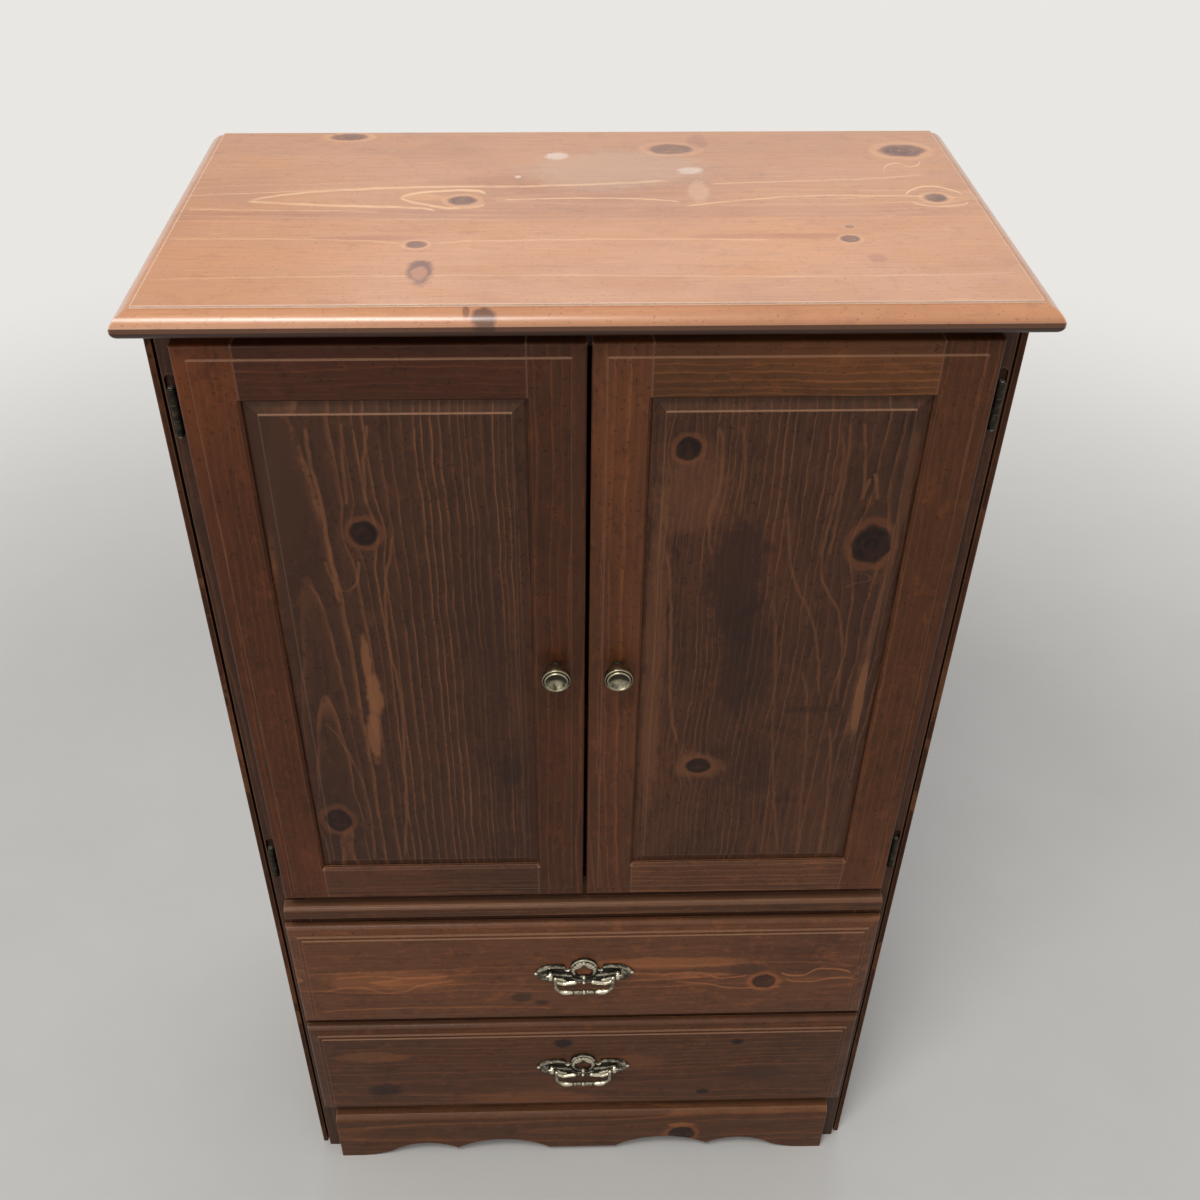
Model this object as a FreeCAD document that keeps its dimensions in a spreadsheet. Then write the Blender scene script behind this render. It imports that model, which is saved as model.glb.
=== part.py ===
import FreeCAD, Part
import math
import os
from types import SimpleNamespace

import Sketcher

# A free-standing television armoire in pine: a moulded top slab, a pair of framed and
# raised-panel doors over a television bay, two drawers with bail pulls, and a scalloped skirt.
# Frame: millimetres, +Z up, the doors face -Y, the origin is the centre of the footprint.

SIZES = [
    ("case_width", 800, "over the two side panels"),
    ("case_depth", 410, "front edge to back edge of a side panel"),
    ("side_thickness", 18, "side panel"),
    ("side_lip", 6, "lip left in front of the rebate of a side panel"),
    ("side_groove", 5, "dark groove between the lip and the face stile"),
    ("frame_proud", 6, "face frame in front of the side panels"),
    ("frame_thickness", 19, "face frame"),
    ("stile_width", 38, "face frame upright"),
    ("back_thickness", 6, "back panel"),
    ("back_rebate", 9, "back panel let into each side panel"),
    ("cable_hole_radius", 30, "hole in the back panel"),
    ("cable_hole_rise", 60, "hole centre above the deck"),
    ("slab_thickness", 26, "top slab"),
    ("slab_side_overhang", 15, "top slab past the side panels"),
    ("slab_front_overhang", 40, "top slab past the front edge of the side panels"),
    ("slab_quirk_inset", 17, "quirk behind the lip of the slab"),
    ("slab_quirk_drop", 2, "depth of that quirk"),
    ("slab_tip_drop", 13.5, "lip of the slab below its top"),
    ("slab_under_inset", 10, "underside of the slab behind its lip"),
    ("skirt_height", 105, "floor to the top of the skirt"),
    ("skirt_thickness", 19, "skirt board"),
    ("skirt_inset", 32.5, "end of the skirt inside the case width"),
    ("skirt_quirk_inset", 6, "quirk behind the face of the skirt"),
    ("skirt_quirk_drop", 2.3, "depth of that quirk"),
    ("skirt_round_drop", 10, "height of the rounded top of the skirt"),
    ("skirt_round", 11, "radius of the rounded top of the skirt"),
    ("foot_width", 27.5, "flat foot at each end of the skirt"),
    ("foot_cusp_height", 12, "cusp beside the foot"),
    ("foot_cusp_inset", 77.5, "that cusp from the end of the skirt"),
    ("foot_bulge", 3, "swelling of the line from foot to cusp"),
    ("arch_cusp_height", 17, "cusp between the two arches"),
    ("arch_cusp_inset", 177.5, "that cusp from the end of the skirt"),
    ("short_arch_rise", 17.5, "short arch above the line of its cusps"),
    ("long_arch_rise", 23, "long arch above the line of its cusps"),
    ("pendant_half", 50, "half the flat pendant in the middle"),
    ("pendant_height", 14, "pendant above the floor"),
    ("bottom_rail_lap", 20, "bottom rail behind the skirt"),
    ("drawer_skirt_gap", 15, "skirt to the lower drawer front"),
    ("drawer_height", 206, "drawer front"),
    ("drawer_gap", 16, "between the drawer fronts"),
    ("drawer_overlap", 10, "drawer front over the rails"),
    ("drawer_inset", 16, "end of a drawer front inside the case width"),
    ("drawer_thickness", 16, "drawer front"),
    ("drawer_clearance", 1, "drawer front to face frame"),
    ("front_round", 7, "rounded outer edge of a drawer front"),
    ("front_slope", 2, "rise of the margin of a drawer front"),
    ("front_step_inset", 14.5, "first step of a drawer front"),
    ("front_step_rise", 2, "first step of a drawer front"),
    ("front_field_inset", 20, "second step of a drawer front"),
    ("front_field_rise", 1.5, "second step of a drawer front"),
    ("waist_gap_below", 25, "upper drawer front to the waist moulding"),
    ("waist_height", 19, "waist moulding"),
    ("waist_thickness", 15, "waist moulding"),
    ("waist_inset", 21, "end of the waist moulding inside the case width"),
    ("waist_quirk_inset", 3.5, "quirk behind the face of the waist moulding"),
    ("waist_quirk_drop", 2, "depth of that quirk"),
    ("waist_round", 5, "radius of the rounded top of the waist moulding"),
    ("waist_gap_above", 24, "waist moulding to the doors"),
    ("door_height", 762, "door"),
    ("door_thickness", 18, "door"),
    ("door_clearance", 1.2, "door to face frame"),
    ("door_inset", 27, "outer edge of a door inside the case width"),
    ("door_gap", 4, "seam between the doors"),
    ("door_slab_gap", 12, "doors to the underside of the slab"),
    ("door_overlap", 12, "door over the rails"),
    ("door_stile", 55, "door upright"),
    ("door_rail", 57, "door rail"),
    ("rim_width", 14, "sunk rim round a door"),
    ("rim_drop", 1.7, "depth of that rim"),
    ("rim_round", 3, "rounded outer edge of a door"),
    ("window_chamfer", 3, "chamfer round the panel opening of a door"),
    ("groove_setback", 6.2, "panel groove behind the face of the door"),
    ("groove_width", 6, "panel groove"),
    ("groove_depth", 8, "panel groove"),
    ("panel_play", 1, "room for the panel to swell in its groove"),
    ("panel_bevel", 14, "bevel round the raised panel"),
    ("panel_bevel_rise", 2.7, "rise of that bevel"),
    ("panel_step", 1.5, "step from the bevel to the field"),
    ("knob_inset", 31, "knob centre from the seam edge of the door"),
    ("knob_height", 382, "knob centre above the bottom of the door"),
    ("knob_radius", 15.5, "head of the knob"),
    ("knob_projection", 27, "knob in front of the door"),
    ("knob_base_radius", 9, "base of the knob"),
    ("knob_base", 2.5, "thickness of that base"),
    ("knob_neck_radius", 5, "neck of the knob"),
    ("knob_neck", 9, "length of that neck"),
    ("knob_rim", 6, "rim of the head of the knob"),
    ("knob_ring_radius", 9, "raised ring on the head of the knob"),
    ("knob_ring", 1.5, "height of that ring"),
    ("bolt_radius", 2, "bolts of knobs and pulls"),
    ("bolt_head_radius", 4, "their heads"),
    ("bolt_head", 3, "their heads"),
    ("bolt_grip", 12, "bolt inside the knob"),
    ("fit_clearance", 0.05, "fixed pins and screws in their holes"),
    ("hinge_offset", 8.5, "hinge axis outside the door edge"),
    ("hinge_from_top", 74.5, "middle of the top hinge below the top of the door"),
    ("hinge_from_bottom", 55, "middle of the bottom hinge above the bottom of the door"),
    ("barrel_radius", 4, "hinge barrel"),
    ("barrel_length", 50, "hinge barrel"),
    ("knuckle_gap", 0.3, "between knuckles and between leaves"),
    ("leaf_thickness", 1, "hinge leaf"),
    ("leaf_width", 20, "hinge leaf from the axis"),
    ("pin_radius", 1.5, "hinge pin"),
    ("pin_button_radius", 2.6, "button at each end of a hinge pin"),
    ("pin_button", 1.5, "height of that button"),
    ("notch_radius", 6, "half the notch in the stile behind a hinge"),
    ("notch_depth", 6, "that notch"),
    ("notch_over", 6, "straight part of that notch above the barrel"),
    ("notch_under", 2, "notch below the barrel"),
    ("screw_radius", 1.4, "hinge screws"),
    ("screw_head_radius", 2.3, "hinge screws"),
    ("screw_length", 11, "hinge screws"),
    ("screw_inset", 15, "hinge screws from the axis"),
    ("case_screw_spread", 9, "half the distance between the screws of a case leaf"),
    ("door_screw_spread", 18, "half the distance between the screws of a door leaf"),
    ("catch_inset", 15, "catch from the middle of the case"),
    ("catch_width", 45, "catch"),
    ("catch_height", 12, "catch"),
    ("strike_margin", 5, "strike plate inside the catch width"),
    ("strike_thickness", 0.9, "strike plate"),
    ("strike_edge", 1.5, "strike plate inside the catch height"),
    ("deck_thickness", 18, "deck under the television"),
    ("shelf_rise", 242, "shelf above the deck"),
    ("shelf_thickness", 18, "shelf"),
    ("shelf_side_play", 2, "shelf to each side panel"),
    ("shelf_setback", 30, "shelf behind the front edge of the side panels"),
    ("shelf_back_play", 9, "shelf to the back panel"),
    ("shelf_pin_radius", 3, "shelf pin"),
    ("shelf_pin_length", 18, "shelf pin"),
    ("shelf_pin_hole", 9, "depth of the holes for the shelf pins"),
    ("shelf_pin_inset", 30, "shelf pins from the front and back of the shelf"),
    ("shelf_pin_pitch", 32, "between the rows of holes"),
    ("rear_rail_depth", 19, "rail behind the top of the bay"),
    ("rear_rail_height", 45, "rail behind the top of the bay"),
    ("bottom_thickness", 12, "panel under the lower drawer"),
    ("block_width", 40, "glue block"),
    ("block_foot", 8, "glue block above the floor"),
    ("runner_height", 15, "ledge that carries a drawer"),
    ("runner_reach", 1, "ledge past the drawer side"),
    ("guide_height", 20, "guide strip beside a drawer"),
    ("guide_play", 0.5, "guide strip to drawer side"),
    ("slide_play", 0.3, "drawer side above its runner"),
    ("box_side_gap", 3, "drawer side to the face stile"),
    ("box_side", 12, "thickness of the drawer sides and back"),
    ("box_height", 165, "drawer side"),
    ("box_length", 362, "drawer side"),
    ("box_bottom", 5, "drawer bottom"),
    ("box_bottom_rise", 8, "drawer bottom above the lower edge of the side"),
    ("box_groove", 5, "groove for the drawer bottom"),
    ("pull_half", 44.45, "half the distance between the pull posts"),
    ("pull_rise", 10, "pull posts above the middle of the drawer front"),
    ("plate_thickness", 2.2, "back plate of a pull"),
    ("plate_grid", 0.5, "grid on which the outline of a back plate is drawn"),
    ("post_width", 6.4, "pull post"),
    ("post_half_height", 7.5, "pull post"),
    ("post_shoulder", 6, "square part of a pull post"),
    ("post_bulge", 5, "rounded front of a pull post"),
    ("post_bolt_grip", 4, "bolt inside a pull post"),
    ("pivot_reach", 8.4, "bail pivot in front of the back plate"),
    ("pivot_radius", 1.4, "pin of the bail"),
    ("pivot_play", 0.08, "pin of the bail in its post"),
    ("pivot_stub", 1, "pin of the bail past the post"),
    ("arm_gap", 0.35, "end of the bail to its post"),
    ("arm_radius", 2.1, "arm of the bail"),
    ("eye_radius", 2.9, "end of the arm"),
    ("arm_bend", 14, "radius of the bend of the bail"),
    ("bail_drop", 30, "middle of the grip below the pivot"),
    ("grip_radius", 3.4, "swelling of the grip"),
    ("bead_radius", 3.8, "middle bead of the grip"),
    ("bead_half", 3, "half the middle bead"),
    ("fillet_radius", 2.4, "thin turning beside the bead"),
    ("fillet_half", 4.5, "end of that turning from the middle"),
    ("tip_reach", 19, "ball at each end of the back plate, from the post"),
    ("tip_radius", 2, "that ball"),
    ("shell_radius", 17, "ring in the middle of the back plate"),
    ("shell_rise", 8, "middle of that ring above the posts"),
    ("shell_height", 1.6, "that ring in front of the plate"),
]

document = FreeCAD.newDocument("tv_armoire")
sheet = document.addObject("Spreadsheet::Sheet", "Sizes")
for row, (alias, millimetres, meaning) in enumerate(SIZES, start=1):
    sheet.set(f"A{row}", meaning)
    sheet.set(f"B{row}", str(millimetres))
    sheet.setAlias(f"B{row}", alias)
document.recompute()


class Size:
    """A length with its value in millimetres and the sheet expression it comes from."""

    def __init__(self, value, text):
        self.value = value
        self.text = text

    def joined(self, sign, other, value):
        return Size(value, f"({self.text} {sign} {as_size(other).text})")

    def __add__(self, other):
        return self.joined("+", other, self.value + as_size(other).value)

    def __sub__(self, other):
        return self.joined("-", other, self.value - as_size(other).value)

    def __mul__(self, other):
        return self.joined("*", other, self.value * as_size(other).value)

    def __truediv__(self, other):
        return self.joined("/", other, self.value / as_size(other).value)

    def __neg__(self):
        return Size(-self.value, f"(-1 * {self.text})")


def as_size(number):
    return number if isinstance(number, Size) else Size(float(number), f"{float(number)}")


size = SimpleNamespace(**{alias: Size(float(sheet.get(alias)), f"Sizes.{alias}") for alias, *_ in SIZES})
ZERO = as_size(0)
LEFT, RIGHT = -1, 1
HANDS = ((LEFT, "left"), (RIGHT, "right"))
ROUND, HOLLOW = 1, -1
QUARTER_TURN, HALF_TURN, FULL_TURN = 90, 180, 360
AXIS_TURN = {
    "X": FreeCAD.Rotation(FreeCAD.Vector(0, 1, 0), QUARTER_TURN),
    "Y": FreeCAD.Rotation(FreeCAD.Vector(1, 0, 0), -QUARTER_TURN),
    "Z": FreeCAD.Rotation(),
}
parts = []


def bind(thing, values):
    """Tie each named property of an object to the expression behind a size."""
    for name, value in values.items():
        thing.setExpression(name, as_size(value).text)


def place(thing, x, y, z, rotation=FreeCAD.Rotation()):
    thing.Placement = FreeCAD.Placement(FreeCAD.Vector(), rotation)
    bind(thing, {"Placement.Base.x": x, "Placement.Base.y": y, "Placement.Base.z": z})
    return thing


def span(inner, outer, side):
    """The low and high X of a stretch between two distances from the middle of the case."""
    return (inner, outer) if side == RIGHT else (-outer, -inner)


def keep(thing, label):
    """Register a finished piece under the name of its file."""
    thing.Label = label
    parts.append(thing)
    return thing


def board(name, across, deep, tall):
    """A square-edged board between its low and high X, Y and Z."""
    box = document.addObject("Part::Box", name)
    bind(box, {
        "Length": across[1] - across[0],
        "Width": deep[1] - deep[0],
        "Height": tall[1] - tall[0],
    })
    return place(box, across[0], deep[0], tall[0])


def rod(name, axis, start, length, radius):
    """A cylinder that runs from a point along +X, +Y or +Z."""
    cylinder = document.addObject("Part::Cylinder", name)
    bind(cylinder, {"Radius": radius, "Height": length})
    return place(cylinder, *start, AXIS_TURN[axis])


def together(name, pieces):
    """Several separate solids in one object."""
    group = document.addObject("Part::Compound", name)
    group.Links = pieces
    return group


def fused(name, pieces):
    union = document.addObject("Part::MultiFuse", name)
    union.Shapes = pieces
    return union


def cut(name, base, tools):
    result = document.addObject("Part::Cut", name)
    result.Base = base
    result.Tool = tools[0] if len(tools) == 1 else together(name + "_tools", tools)
    return result


def common(name, first, second):
    result = document.addObject("Part::Common", name)
    result.Base = first
    result.Tool = second
    return result


def arc_between(start, end, radius, turn):
    """The shorter arc from start to end; it turns left where turn is 1 and right where it is -1."""
    chord = end - start
    rise = math.sqrt(max(radius ** 2 - (chord.Length / 2) ** 2, 0))
    centre = (start + end) / 2 + FreeCAD.Vector(-chord.y, chord.x, 0).normalize() * rise * turn
    first, last = (start, end) if turn > 0 else (end, start)
    angles = [math.atan2(point.y - centre.y, point.x - centre.x) for point in (first, last)]
    if angles[1] < angles[0]:
        angles[1] += 2 * math.pi
    return Part.ArcOfCircle(Part.Circle(centre, FreeCAD.Vector(0, 0, 1), radius), *angles)


def sketch_on(body, plane, name):
    sketch = body.newObject("Sketcher::SketchObject", name)
    face = next(feature for feature in body.Origin.OriginFeatures if feature.Role == plane)
    sketch.AttachmentSupport = [(face, "")]
    sketch.MapMode = "FlatFace"
    return sketch


def draw(sketch, corners):
    """Draw a closed outline.

    A corner is (across, up), or (across, up, radius, ROUND or HOLLOW) where an arc leads on from it.
    """
    points = [FreeCAD.Vector(corner[0].value, corner[1].value, 0) for corner in corners]
    following = points[1:] + points[:1]
    area = sum(a.x * b.y - b.x * a.y for a, b in zip(points, following))
    way_round = math.copysign(1, area)
    ends = []
    for corner, start, end in zip(corners, points, following):
        if len(corner) == 2:
            index = sketch.addGeometry(Part.LineSegment(start, end), False)
            ends.append((index, 1, 2))
        else:
            turn = corner[3] * way_round
            index = sketch.addGeometry(arc_between(start, end, corner[2].value, turn), False)
            ends.append((index, 1, 2) if turn > 0 else (index, 2, 1))
    for (index, _, last), (follower, first, _) in zip(ends, ends[1:] + ends[:1]):
        sketch.addConstraint(Sketcher.Constraint("Coincident", index, last, follower, first))
    for (index, first, _), corner, point in zip(ends, corners, points):
        datums = [("DistanceX", point.x, corner[0]), ("DistanceY", point.y, corner[1])]
        for kind, value, source in datums:
            number = sketch.addConstraint(Sketcher.Constraint(kind, index, first, value))
            sketch.setExpression(f"Constraints[{number}]", source.text)
        if len(corner) > 2:
            number = sketch.addConstraint(Sketcher.Constraint("Radius", index, corner[2].value))
            sketch.setExpression(f"Constraints[{number}]", corner[2].text)
    return sketch


def prism(name, plane, corners, low, high):
    """An outline drawn on XY, XZ or YZ and padded along the third axis from low to high."""
    body = document.addObject("PartDesign::Body", name)
    sketch = draw(sketch_on(body, f"{plane}_Plane", name + "_outline"), corners)
    pad = body.newObject("PartDesign::Pad", name + "_pad")
    pad.Profile = sketch
    bind(pad, {"Length": high - low})
    starts = {"XY": (ZERO, ZERO, low), "XZ": (ZERO, high, ZERO), "YZ": (low, ZERO, ZERO)}
    return place(body, *starts[plane])


def turned(name, plane, corners, axis):
    """An outline revolved about the horizontal or vertical axis of its sketch."""
    body = document.addObject("PartDesign::Body", name)
    sketch = draw(sketch_on(body, f"{plane}_Plane", name + "_outline"), corners)
    revolution = body.newObject("PartDesign::Revolution", name + "_turning")
    revolution.Profile = sketch
    revolution.ReferenceAxis = (sketch, [axis])
    revolution.Angle = FULL_TURN
    return body


def mirrored(corners, side):
    """The same outline on the other side of the middle plane where side is LEFT."""
    return [(corner[0] * side, *corner[1:]) for corner in corners]


def backwards(corners):
    """The same open line walked the other way; each arc goes with the corner it now starts from."""
    bends = [corner[2:] for corner in corners]
    moved = [()] + bends[:-1]
    return [(*corner[:2], *bend) for corner, bend in zip(reversed(corners), reversed(moved))]


def swapped(corners):
    return [(corner[1], corner[0], *corner[2:]) for corner in corners]


def section(low, high, back, edge):
    """Section of a board moulded alike on both edges.

    The edge runs from the back corner to the field as (inset, height above the back[, arc]).
    """
    first = [(low + corner[0], back - corner[1], *corner[2:]) for corner in edge]
    second = [(high - corner[0], back - corner[1], *corner[2:]) for corner in edge]
    return first + backwards(second)


def moulded_board(name, across, tall, back, edge):
    """A board with the same moulding on its four front edges, mitred at the corners."""
    plan = prism(name + "_plan", "XY", section(*across, back, edge), *tall)
    side = prism(name + "_side", "YZ", swapped(section(*tall, back, edge)), *across)
    return common(name, plan, side)


def radius_of(run, rise):
    """Radius of an arc that starts square to its rise."""
    return (run * run + rise * rise) / (rise * 2)


def bowed_radius(start, end, rise):
    """Radius of an arc that rises so far above the chord between two points."""
    run = end[0] - start[0]
    climb = end[1] - start[1]
    return (run * run + climb * climb) / (rise * 8) + rise / 2


# Levels across the case, from the middle outwards.
half_case = size.case_width / 2
side_inner = half_case - size.side_thickness
lip_inner = half_case - size.side_lip
stile_outer = lip_inner - size.side_groove
stile_inner = stile_outer - size.stile_width
back_half = side_inner + size.back_rebate
skirt_half = half_case - size.skirt_inset
waist_half = half_case - size.waist_inset
drawer_half = half_case - size.drawer_inset
door_outer = half_case - size.door_inset
door_inner = size.door_gap / 2
hinge_x = door_outer + size.hinge_offset
box_outer = stile_inner - size.box_side_gap
box_inner = box_outer - size.box_side
inside = (-side_inner, side_inner)

# Levels from front to back: the knobs and the back of the case are equally far from the origin.
knob_reach = size.frame_proud + size.door_clearance + size.door_thickness + size.knob_projection
side_front = (knob_reach - size.case_depth) / 2
case_back = side_front + size.case_depth
back_front = case_back - size.back_thickness
frame_face = side_front - size.frame_proud
frame_back = frame_face + size.frame_thickness
door_back = frame_face - size.door_clearance
door_face = door_back - size.door_thickness
drawer_back = frame_face - size.drawer_clearance
drawer_face = drawer_back - size.drawer_thickness
skirt_face = frame_face - size.skirt_thickness
waist_face = frame_face - size.waist_thickness
slab_front = side_front - size.slab_front_overhang
hinge_y = frame_face - size.barrel_radius
frame_depth = (frame_face, frame_back)
inside_depth = (frame_back, back_front)

# Levels from the floor up.
bottom_rail_low = size.skirt_height - size.bottom_rail_lap
lower_low = size.skirt_height + size.drawer_skirt_gap
lower_top = lower_low + size.drawer_height
upper_low = lower_top + size.drawer_gap
upper_top = upper_low + size.drawer_height
waist_low = upper_top + size.waist_gap_below
waist_top = waist_low + size.waist_height
door_low = waist_top + size.waist_gap_above
door_top = door_low + size.door_height
case_top = door_top + size.door_slab_gap
slab_top = case_top + size.slab_thickness
lower_sill = lower_low + size.drawer_overlap
upper_sill = upper_low + size.drawer_overlap
deck_top = door_low + size.door_overlap
top_rail_low = door_top - size.door_overlap
shelf_low = deck_top + size.shelf_rise
hinge_middles = (door_low + size.hinge_from_bottom, door_top - size.hinge_from_top)


# ---- Top slab ----
def slab_edge(tip, inward):
    """Quirk, upper round and lower round of the slab, from its top down to its underside."""
    tip_level = slab_top - size.slab_tip_drop
    quirk = tip + size.slab_quirk_inset * inward
    upper_round = radius_of(size.slab_quirk_inset, size.slab_tip_drop - size.slab_quirk_drop)
    lower_round = radius_of(size.slab_under_inset, size.slab_thickness - size.slab_tip_drop)
    return [
        (quirk, slab_top),
        (quirk, slab_top - size.slab_quirk_drop, upper_round, ROUND),
        (tip, tip_level, lower_round, ROUND),
        (tip + size.slab_under_inset * inward, case_top),
    ]


slab_half = half_case + size.slab_side_overhang
slab_side_view = slab_edge(slab_front, 1) + [(case_back, case_top), (case_back, slab_top)]
slab_front_view = slab_edge(-slab_half, 1) + backwards(slab_edge(slab_half, -1))
slab_long = prism("slab_long", "YZ", slab_side_view, -slab_half, slab_half)
slab_cross = prism("slab_cross", "XZ", slab_front_view, slab_front, case_back)
keep(common("slab", slab_long, slab_cross), "top_slab")

# ---- Side panels, with a rebate for the face stile, one for the back, and shelf pin holes ----
shelf_depth = (side_front + size.shelf_setback, back_front - size.shelf_back_play)
pin_depths = (shelf_depth[0] + size.shelf_pin_inset, shelf_depth[1] - size.shelf_pin_inset)
pin_level = shelf_low - size.shelf_pin_radius
PIN_ROWS = (-2, -1, 0, 1, 2)


def pin_start(side, length_inside):
    """X at which a rod along +X starts so that its outer end is at the bottom of a pin hole."""
    hole_end = side_inner + size.shelf_pin_hole
    return hole_end - length_inside if side == RIGHT else -hole_end


for side, hand in HANDS:
    plan = mirrored([
        (half_case, side_front),
        (half_case, case_back),
        (back_half, case_back),
        (back_half, back_front),
        (side_inner, back_front),
        (side_inner, frame_back),
        (lip_inner, frame_back),
        (lip_inner, side_front),
    ], side)
    panel = prism(f"side_{hand}_blank", "XY", plan, ZERO, case_top)
    holes = [
        rod(f"pin_hole_{hand}_{row}_{column}", "X",
            (pin_start(side, size.shelf_pin_hole), depth, pin_level + size.shelf_pin_pitch * row),
            size.shelf_pin_hole, size.shelf_pin_radius + size.fit_clearance)
        for row in PIN_ROWS for column, depth in enumerate(pin_depths)
    ]
    keep(cut(f"side_{hand}", panel, holes), f"side_panel_{hand}")

pins = [
    rod(f"shelf_pin_{hand}_{column}", "X", (pin_start(side, size.shelf_pin_length), depth, pin_level),
        size.shelf_pin_length, size.shelf_pin_radius)
    for side, hand in HANDS for column, depth in enumerate(pin_depths)
]
keep(together("pins", pins), "shelf_pins")
shelf_half = side_inner - size.shelf_side_play
shelf_tall = (shelf_low, shelf_low + size.shelf_thickness)
keep(board("shelf", (-shelf_half, shelf_half), shelf_depth, shelf_tall), "media_shelf")

# ---- Back panel with a cable hole, and the rail behind the top of the bay ----
back_tall = (bottom_rail_low, case_top)
back_board = board("back_board", (-back_half, back_half), (back_front, case_back), back_tall)
cable_start = (ZERO, back_front, deck_top + size.cable_hole_rise)
cable_hole = rod("cable_hole", "Y", cable_start, size.back_thickness, size.cable_hole_radius)
keep(cut("back", back_board, [cable_hole]), "back_panel")
keep(board("rear_rail", inside, (back_front - size.rear_rail_depth, back_front),
           (case_top - size.rear_rail_height, case_top)), "rear_top_rail")

# ---- Horizontal boards inside the case ----
keep(board("deck", inside, inside_depth, (deck_top - size.deck_thickness, deck_top)), "deck_board")
bottom_tall = (bottom_rail_low, bottom_rail_low + size.bottom_thickness)
keep(board("bottom", inside, inside_depth, bottom_tall), "bottom_panel")
blocks = [
    board(f"block_{hand}", span(side_inner - size.block_width, side_inner, side),
          (frame_back, frame_back + size.block_width), (size.block_foot, bottom_rail_low))
    for side, hand in HANDS
]
keep(together("blocks", blocks), "corner_blocks")

# ---- Face frame ----
rail_across = (-stile_inner, stile_inner)
rails = {
    "bottom_rail": (bottom_rail_low, lower_sill),
    "divider_rail": (lower_top - size.drawer_overlap, upper_sill),
    "middle_rail": (upper_top - size.drawer_overlap, deck_top),
    "top_rail": (top_rail_low, case_top),
}
for label, tall in rails.items():
    keep(board(label + "_board", rail_across, frame_depth, tall), label)


def barrel_span(middle):
    return (middle - size.barrel_length / 2, middle + size.barrel_length / 2)


def notch_tool(name, side, middle):
    """The slot behind a hinge barrel: square below, round above."""
    low, high = barrel_span(middle)
    shoulder = high + size.notch_over
    depth = (frame_face, frame_face + size.notch_depth)
    across = span(hinge_x - size.notch_radius, hinge_x + size.notch_radius, side)
    slot = board(name + "_slot", across, depth, (low - size.notch_under, shoulder))
    start = (hinge_x * side, frame_face, shoulder)
    end = rod(name + "_end", "Y", start, size.notch_depth, size.notch_radius)
    return fused(name, [slot, end])


screw_x = hinge_x - size.screw_inset
case_leaf = (frame_face - size.leaf_thickness, frame_face)
door_leaf = (case_leaf[0] - size.knuckle_gap - size.leaf_thickness, case_leaf[0] - size.knuckle_gap)


INTO_CASE, INTO_DOOR = 1, -1


def driven(way):
    """The turn of a screw that runs back into the case or forward into a door."""
    return FreeCAD.Rotation(FreeCAD.Vector(1, 0, 0), -QUARTER_TURN * way)


def hinge_screw(name, side, level, head_face, way):
    """A countersunk screw whose head lies in a leaf."""
    head = document.addObject("Part::Cone", name + "_head")
    bind(head, {
        "Radius1": size.screw_head_radius,
        "Radius2": size.screw_radius,
        "Height": size.leaf_thickness,
    })
    place(head, screw_x * side, head_face, level, driven(way))
    shank = document.addObject("Part::Cylinder", name + "_shank")
    bind(shank, {"Radius": size.screw_radius, "Height": size.screw_length - size.leaf_thickness})
    place(shank, screw_x * side, head_face + size.leaf_thickness * way, level, driven(way))
    return fused(name, [head, shank])


def screw_hole(name, side, level, low, length):
    start = (screw_x * side, low, level)
    return rod(name, "Y", start, length, size.screw_radius + size.fit_clearance)


for side, hand in HANDS:
    stile_across = span(stile_inner, stile_outer, side)
    upright = board(f"stile_{hand}_board", stile_across, frame_depth, (ZERO, case_top))
    tools = []
    for place_name, middle in zip(("low", "high"), hinge_middles):
        tools.append(notch_tool(f"notch_{hand}_{place_name}", side, middle))
        for step in (-1, 1):
            level = middle + size.case_screw_spread * step
            tools.append(screw_hole(f"stile_hole_{hand}_{place_name}_{step}", side, level,
                                    frame_face, size.screw_length))
    keep(cut(f"stile_{hand}", upright, tools), f"face_stile_{hand}")

# ---- Waist moulding between doors and drawers ----
waist_section = [
    (frame_face, waist_low),
    (frame_face, waist_top),
    (waist_face + size.waist_quirk_inset, waist_top),
    (waist_face + size.waist_quirk_inset, waist_top - size.waist_quirk_drop, size.waist_round, ROUND),
    (waist_face, waist_top - size.waist_quirk_drop - size.waist_round),
    (waist_face, waist_low),
]
keep(prism("waist", "YZ", waist_section, -waist_half, waist_half), "waist_moulding")

# ---- Skirt: a rounded top edge, and a lower edge of feet, cusps, arches and a flat pendant ----
round_top = size.skirt_height - size.skirt_quirk_drop
round_low = round_top - size.skirt_round_drop
skirt_section = [
    (frame_face, ZERO),
    (frame_face, size.skirt_height),
    (skirt_face + size.skirt_quirk_inset, size.skirt_height),
    (skirt_face + size.skirt_quirk_inset, round_top, size.skirt_round, ROUND),
    (skirt_face, round_low),
    (skirt_face, ZERO),
]
foot_end = (skirt_half - size.foot_width, ZERO)
foot_cusp = (skirt_half - size.foot_cusp_inset, size.foot_cusp_height)
arch_cusp = (skirt_half - size.arch_cusp_inset, size.arch_cusp_height)
pendant_end = (size.pendant_half, size.pendant_height)
lower_edge = [
    (*pendant_end, bowed_radius(pendant_end, arch_cusp, size.long_arch_rise), HOLLOW),
    (*arch_cusp, bowed_radius(arch_cusp, foot_cusp, size.short_arch_rise), HOLLOW),
    (*foot_cusp, bowed_radius(foot_cusp, foot_end, size.foot_bulge), ROUND),
    foot_end,
    (skirt_half, ZERO),
    (skirt_half, size.skirt_height),
]
skirt_outline = lower_edge + mirrored(backwards(lower_edge), LEFT)
skirt_long = prism("skirt_long", "YZ", skirt_section, -skirt_half, skirt_half)
skirt_shape = prism("skirt_shape", "XZ", skirt_outline, skirt_face, frame_face)
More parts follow.
